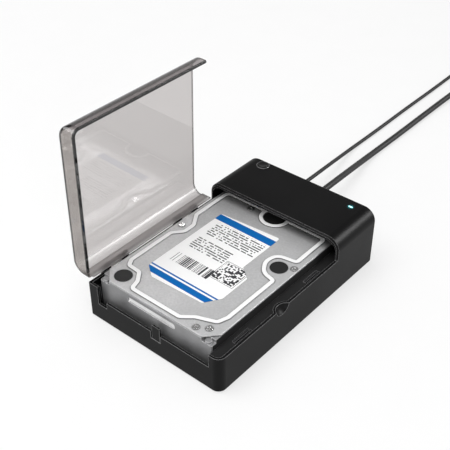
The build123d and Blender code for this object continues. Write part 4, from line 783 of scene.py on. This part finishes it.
# A ring turned about an upright axis from a closed profile of (radius, height) in mm.
def lathe(name, profile, centre, steps=64):
    mesh = bmesh.new()
    rings = []
    for k in range(steps):
        turn = 2 * pi * k / steps
        rings.append([mesh.verts.new(at(centre[0] + r * cos(turn), centre[1] + r * sin(turn), centre[2] + z))
                      for r, z in profile])
    for k in range(steps):
        here, there = rings[k], rings[(k + 1) % steps]
        for j in range(len(profile)):
            after = (j + 1) % len(profile)
            mesh.faces.new((here[j], there[j], there[after], here[after]))
    bmesh.ops.recalc_face_normals(mesh, faces=mesh.faces)
    made = bpy.data.meshes.new(name)
    mesh.to_mesh(made)
    mesh.free()
    for face in made.polygons:
        face.use_smooth = True
    piece = bpy.data.objects.new(name, made)
    bpy.context.collection.objects.link(piece)
    return piece


buttonTrim = {
    "centre": (-41.5, 82.6, 47.4),
    "inner": 4.42,
    "outer": 5.3,
    "high": 0.42,
    "foot": -0.3,
    "round": 0.15,
}


def makeTrim():
    inner, outer, high, foot, turn = (buttonTrim[key] for key in ("inner", "outer", "high", "foot", "round"))
    profile = [(inner, foot), (inner, high - turn), (inner + turn, high), (outer - 3 * turn, high),
               (outer - turn, high - turn), (outer, 0.0), (outer, foot)]
    trim = lathe("buttonTrim", profile, buttonTrim["centre"])
    trim.data.materials.append(finishes["trim"])
    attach(trim, "base")
    return trim


makeTrim()
print("small pieces made")


# Studio: a pale floor, an even sky, two soft lamps and two that only show as reflections
studio = {
    "floor": 0.9,
    "floorDrift": 0.01,
    "floorHalf": 6.0,
    "floorDrop": 0.0001,
    "floorFinish": {"Roughness": 0.9, "Specular IOR Level": 0.1},
    "floorGlow": 0.64,
    "sky": 0.6,
    "horizon": 1.0,
    "zenith": 0.3,
    "climb": (0.1, 0.6),
    "aim": (0, 0, 0.02),
    "lamps": {
        "overLamp": {"place": (-0.35, -0.45, 1.6), "size": 1.3, "power": 16.0, "soft": True},
        "rearLamp": {"place": (1.0, 1.05, 0.9), "size": 0.7, "power": 34.0, "soft": False},
        "bevelLamp": {"place": (-0.93, -1.08, 1.1), "size": 0.9, "power": 12.0, "soft": False},
        "sideLamp": {"place": (1.5, -1.1, 0.7), "size": 0.9, "power": 8.0, "soft": True},
    },
}


# Camera, mirror and see-through rays, which show the backdrop white.
def seenDirectly(tree):
    path = put(tree, "ShaderNodeLightPath").outputs
    some = calc(tree, "ADD", path["Is Camera Ray"], path["Is Glossy Ray"])
    return calc(tree, "ADD", some, path["Is Transmission Ray"], clamp=True)


def makeStudio():
    floorMesh = bpy.data.meshes.new("studioFloor")
    half = studio["floorHalf"]
    floorMesh.from_pydata([(-half, -half, 0), (half, -half, 0), (half, half, 0), (-half, half, 0)], [],
                          [(0, 1, 2, 3)])
    floor = bpy.data.objects.new("studioFloor", floorMesh)
    floor.location.z = -studio["floorDrop"]
    bpy.context.collection.objects.link(floor)
    material, tree, shader = newFinish("floorPaper")
    fibre = useGroup(tree, grainGroup, Size=1.2)
    pale, drift = studio["floor"], studio["floorDrift"]
    join(tree, blend(tree, spanTo(tree, fibre["Tone"], *toneReach, 0.0, 1.0), (pale - drift,) * 3,
                     (pale + drift,) * 3), shader, "Base Color")
    setSockets(shader, studio["floorFinish"])
    glow = put(tree, "ShaderNodeEmission", {"Color": (1, 1, 1, 1), "Strength": 1.0})
    factor = calc(tree, "MULTIPLY", seenDirectly(tree), studio["floorGlow"])
    mixed = put(tree, "ShaderNodeMixShader", {0: factor, 1: shader.outputs[0], 2: glow.outputs[0]})
    tree.links.new(mixed.outputs[0], tree.nodes["Material Output"].inputs["Surface"])
    floorMesh.materials.append(material)

    world = bpy.data.worlds.new("studioSky")
    bpy.context.scene.world = world
    world.use_nodes = True
    sky = world.node_tree
    heading = put(sky, "ShaderNodeTexCoord").outputs["Generated"]
    climb = put(sky, "ShaderNodeSeparateXYZ", {0: heading}).outputs["Z"]
    mirrored = spanTo(sky, climb, *studio["climb"], studio["horizon"], studio["zenith"])
    path = put(sky, "ShaderNodeLightPath").outputs
    clear = calc(sky, "ADD", path["Is Camera Ray"], path["Is Transmission Ray"], clamp=True)
    strength = spanTo(sky, path["Is Glossy Ray"], 0.0, 1.0, studio["sky"], mirrored)
    strength = spanTo(sky, clear, 0.0, 1.0, strength, 1.0)
    sky.links.new(strength, sky.nodes["Background"].inputs["Strength"])
    sky.nodes["Background"].inputs["Color"].default_value = (1, 1, 1, 1)

    for name, settings in studio["lamps"].items():
        data = bpy.data.lights.new(name, "AREA")
        data.energy = settings["power"]
        data.size = settings["size"]
        lampObject = bpy.data.objects.new(name, data)
        lampObject.location = settings["place"]
        lampObject.visible_diffuse = settings["soft"]
        sight = Vector(studio["aim"]) - lampObject.location
        lampObject.rotation_euler = sight.to_track_quat("-Z", "Y").to_euler()
        bpy.context.collection.objects.link(lampObject)


makeStudio()
print("studio lit")
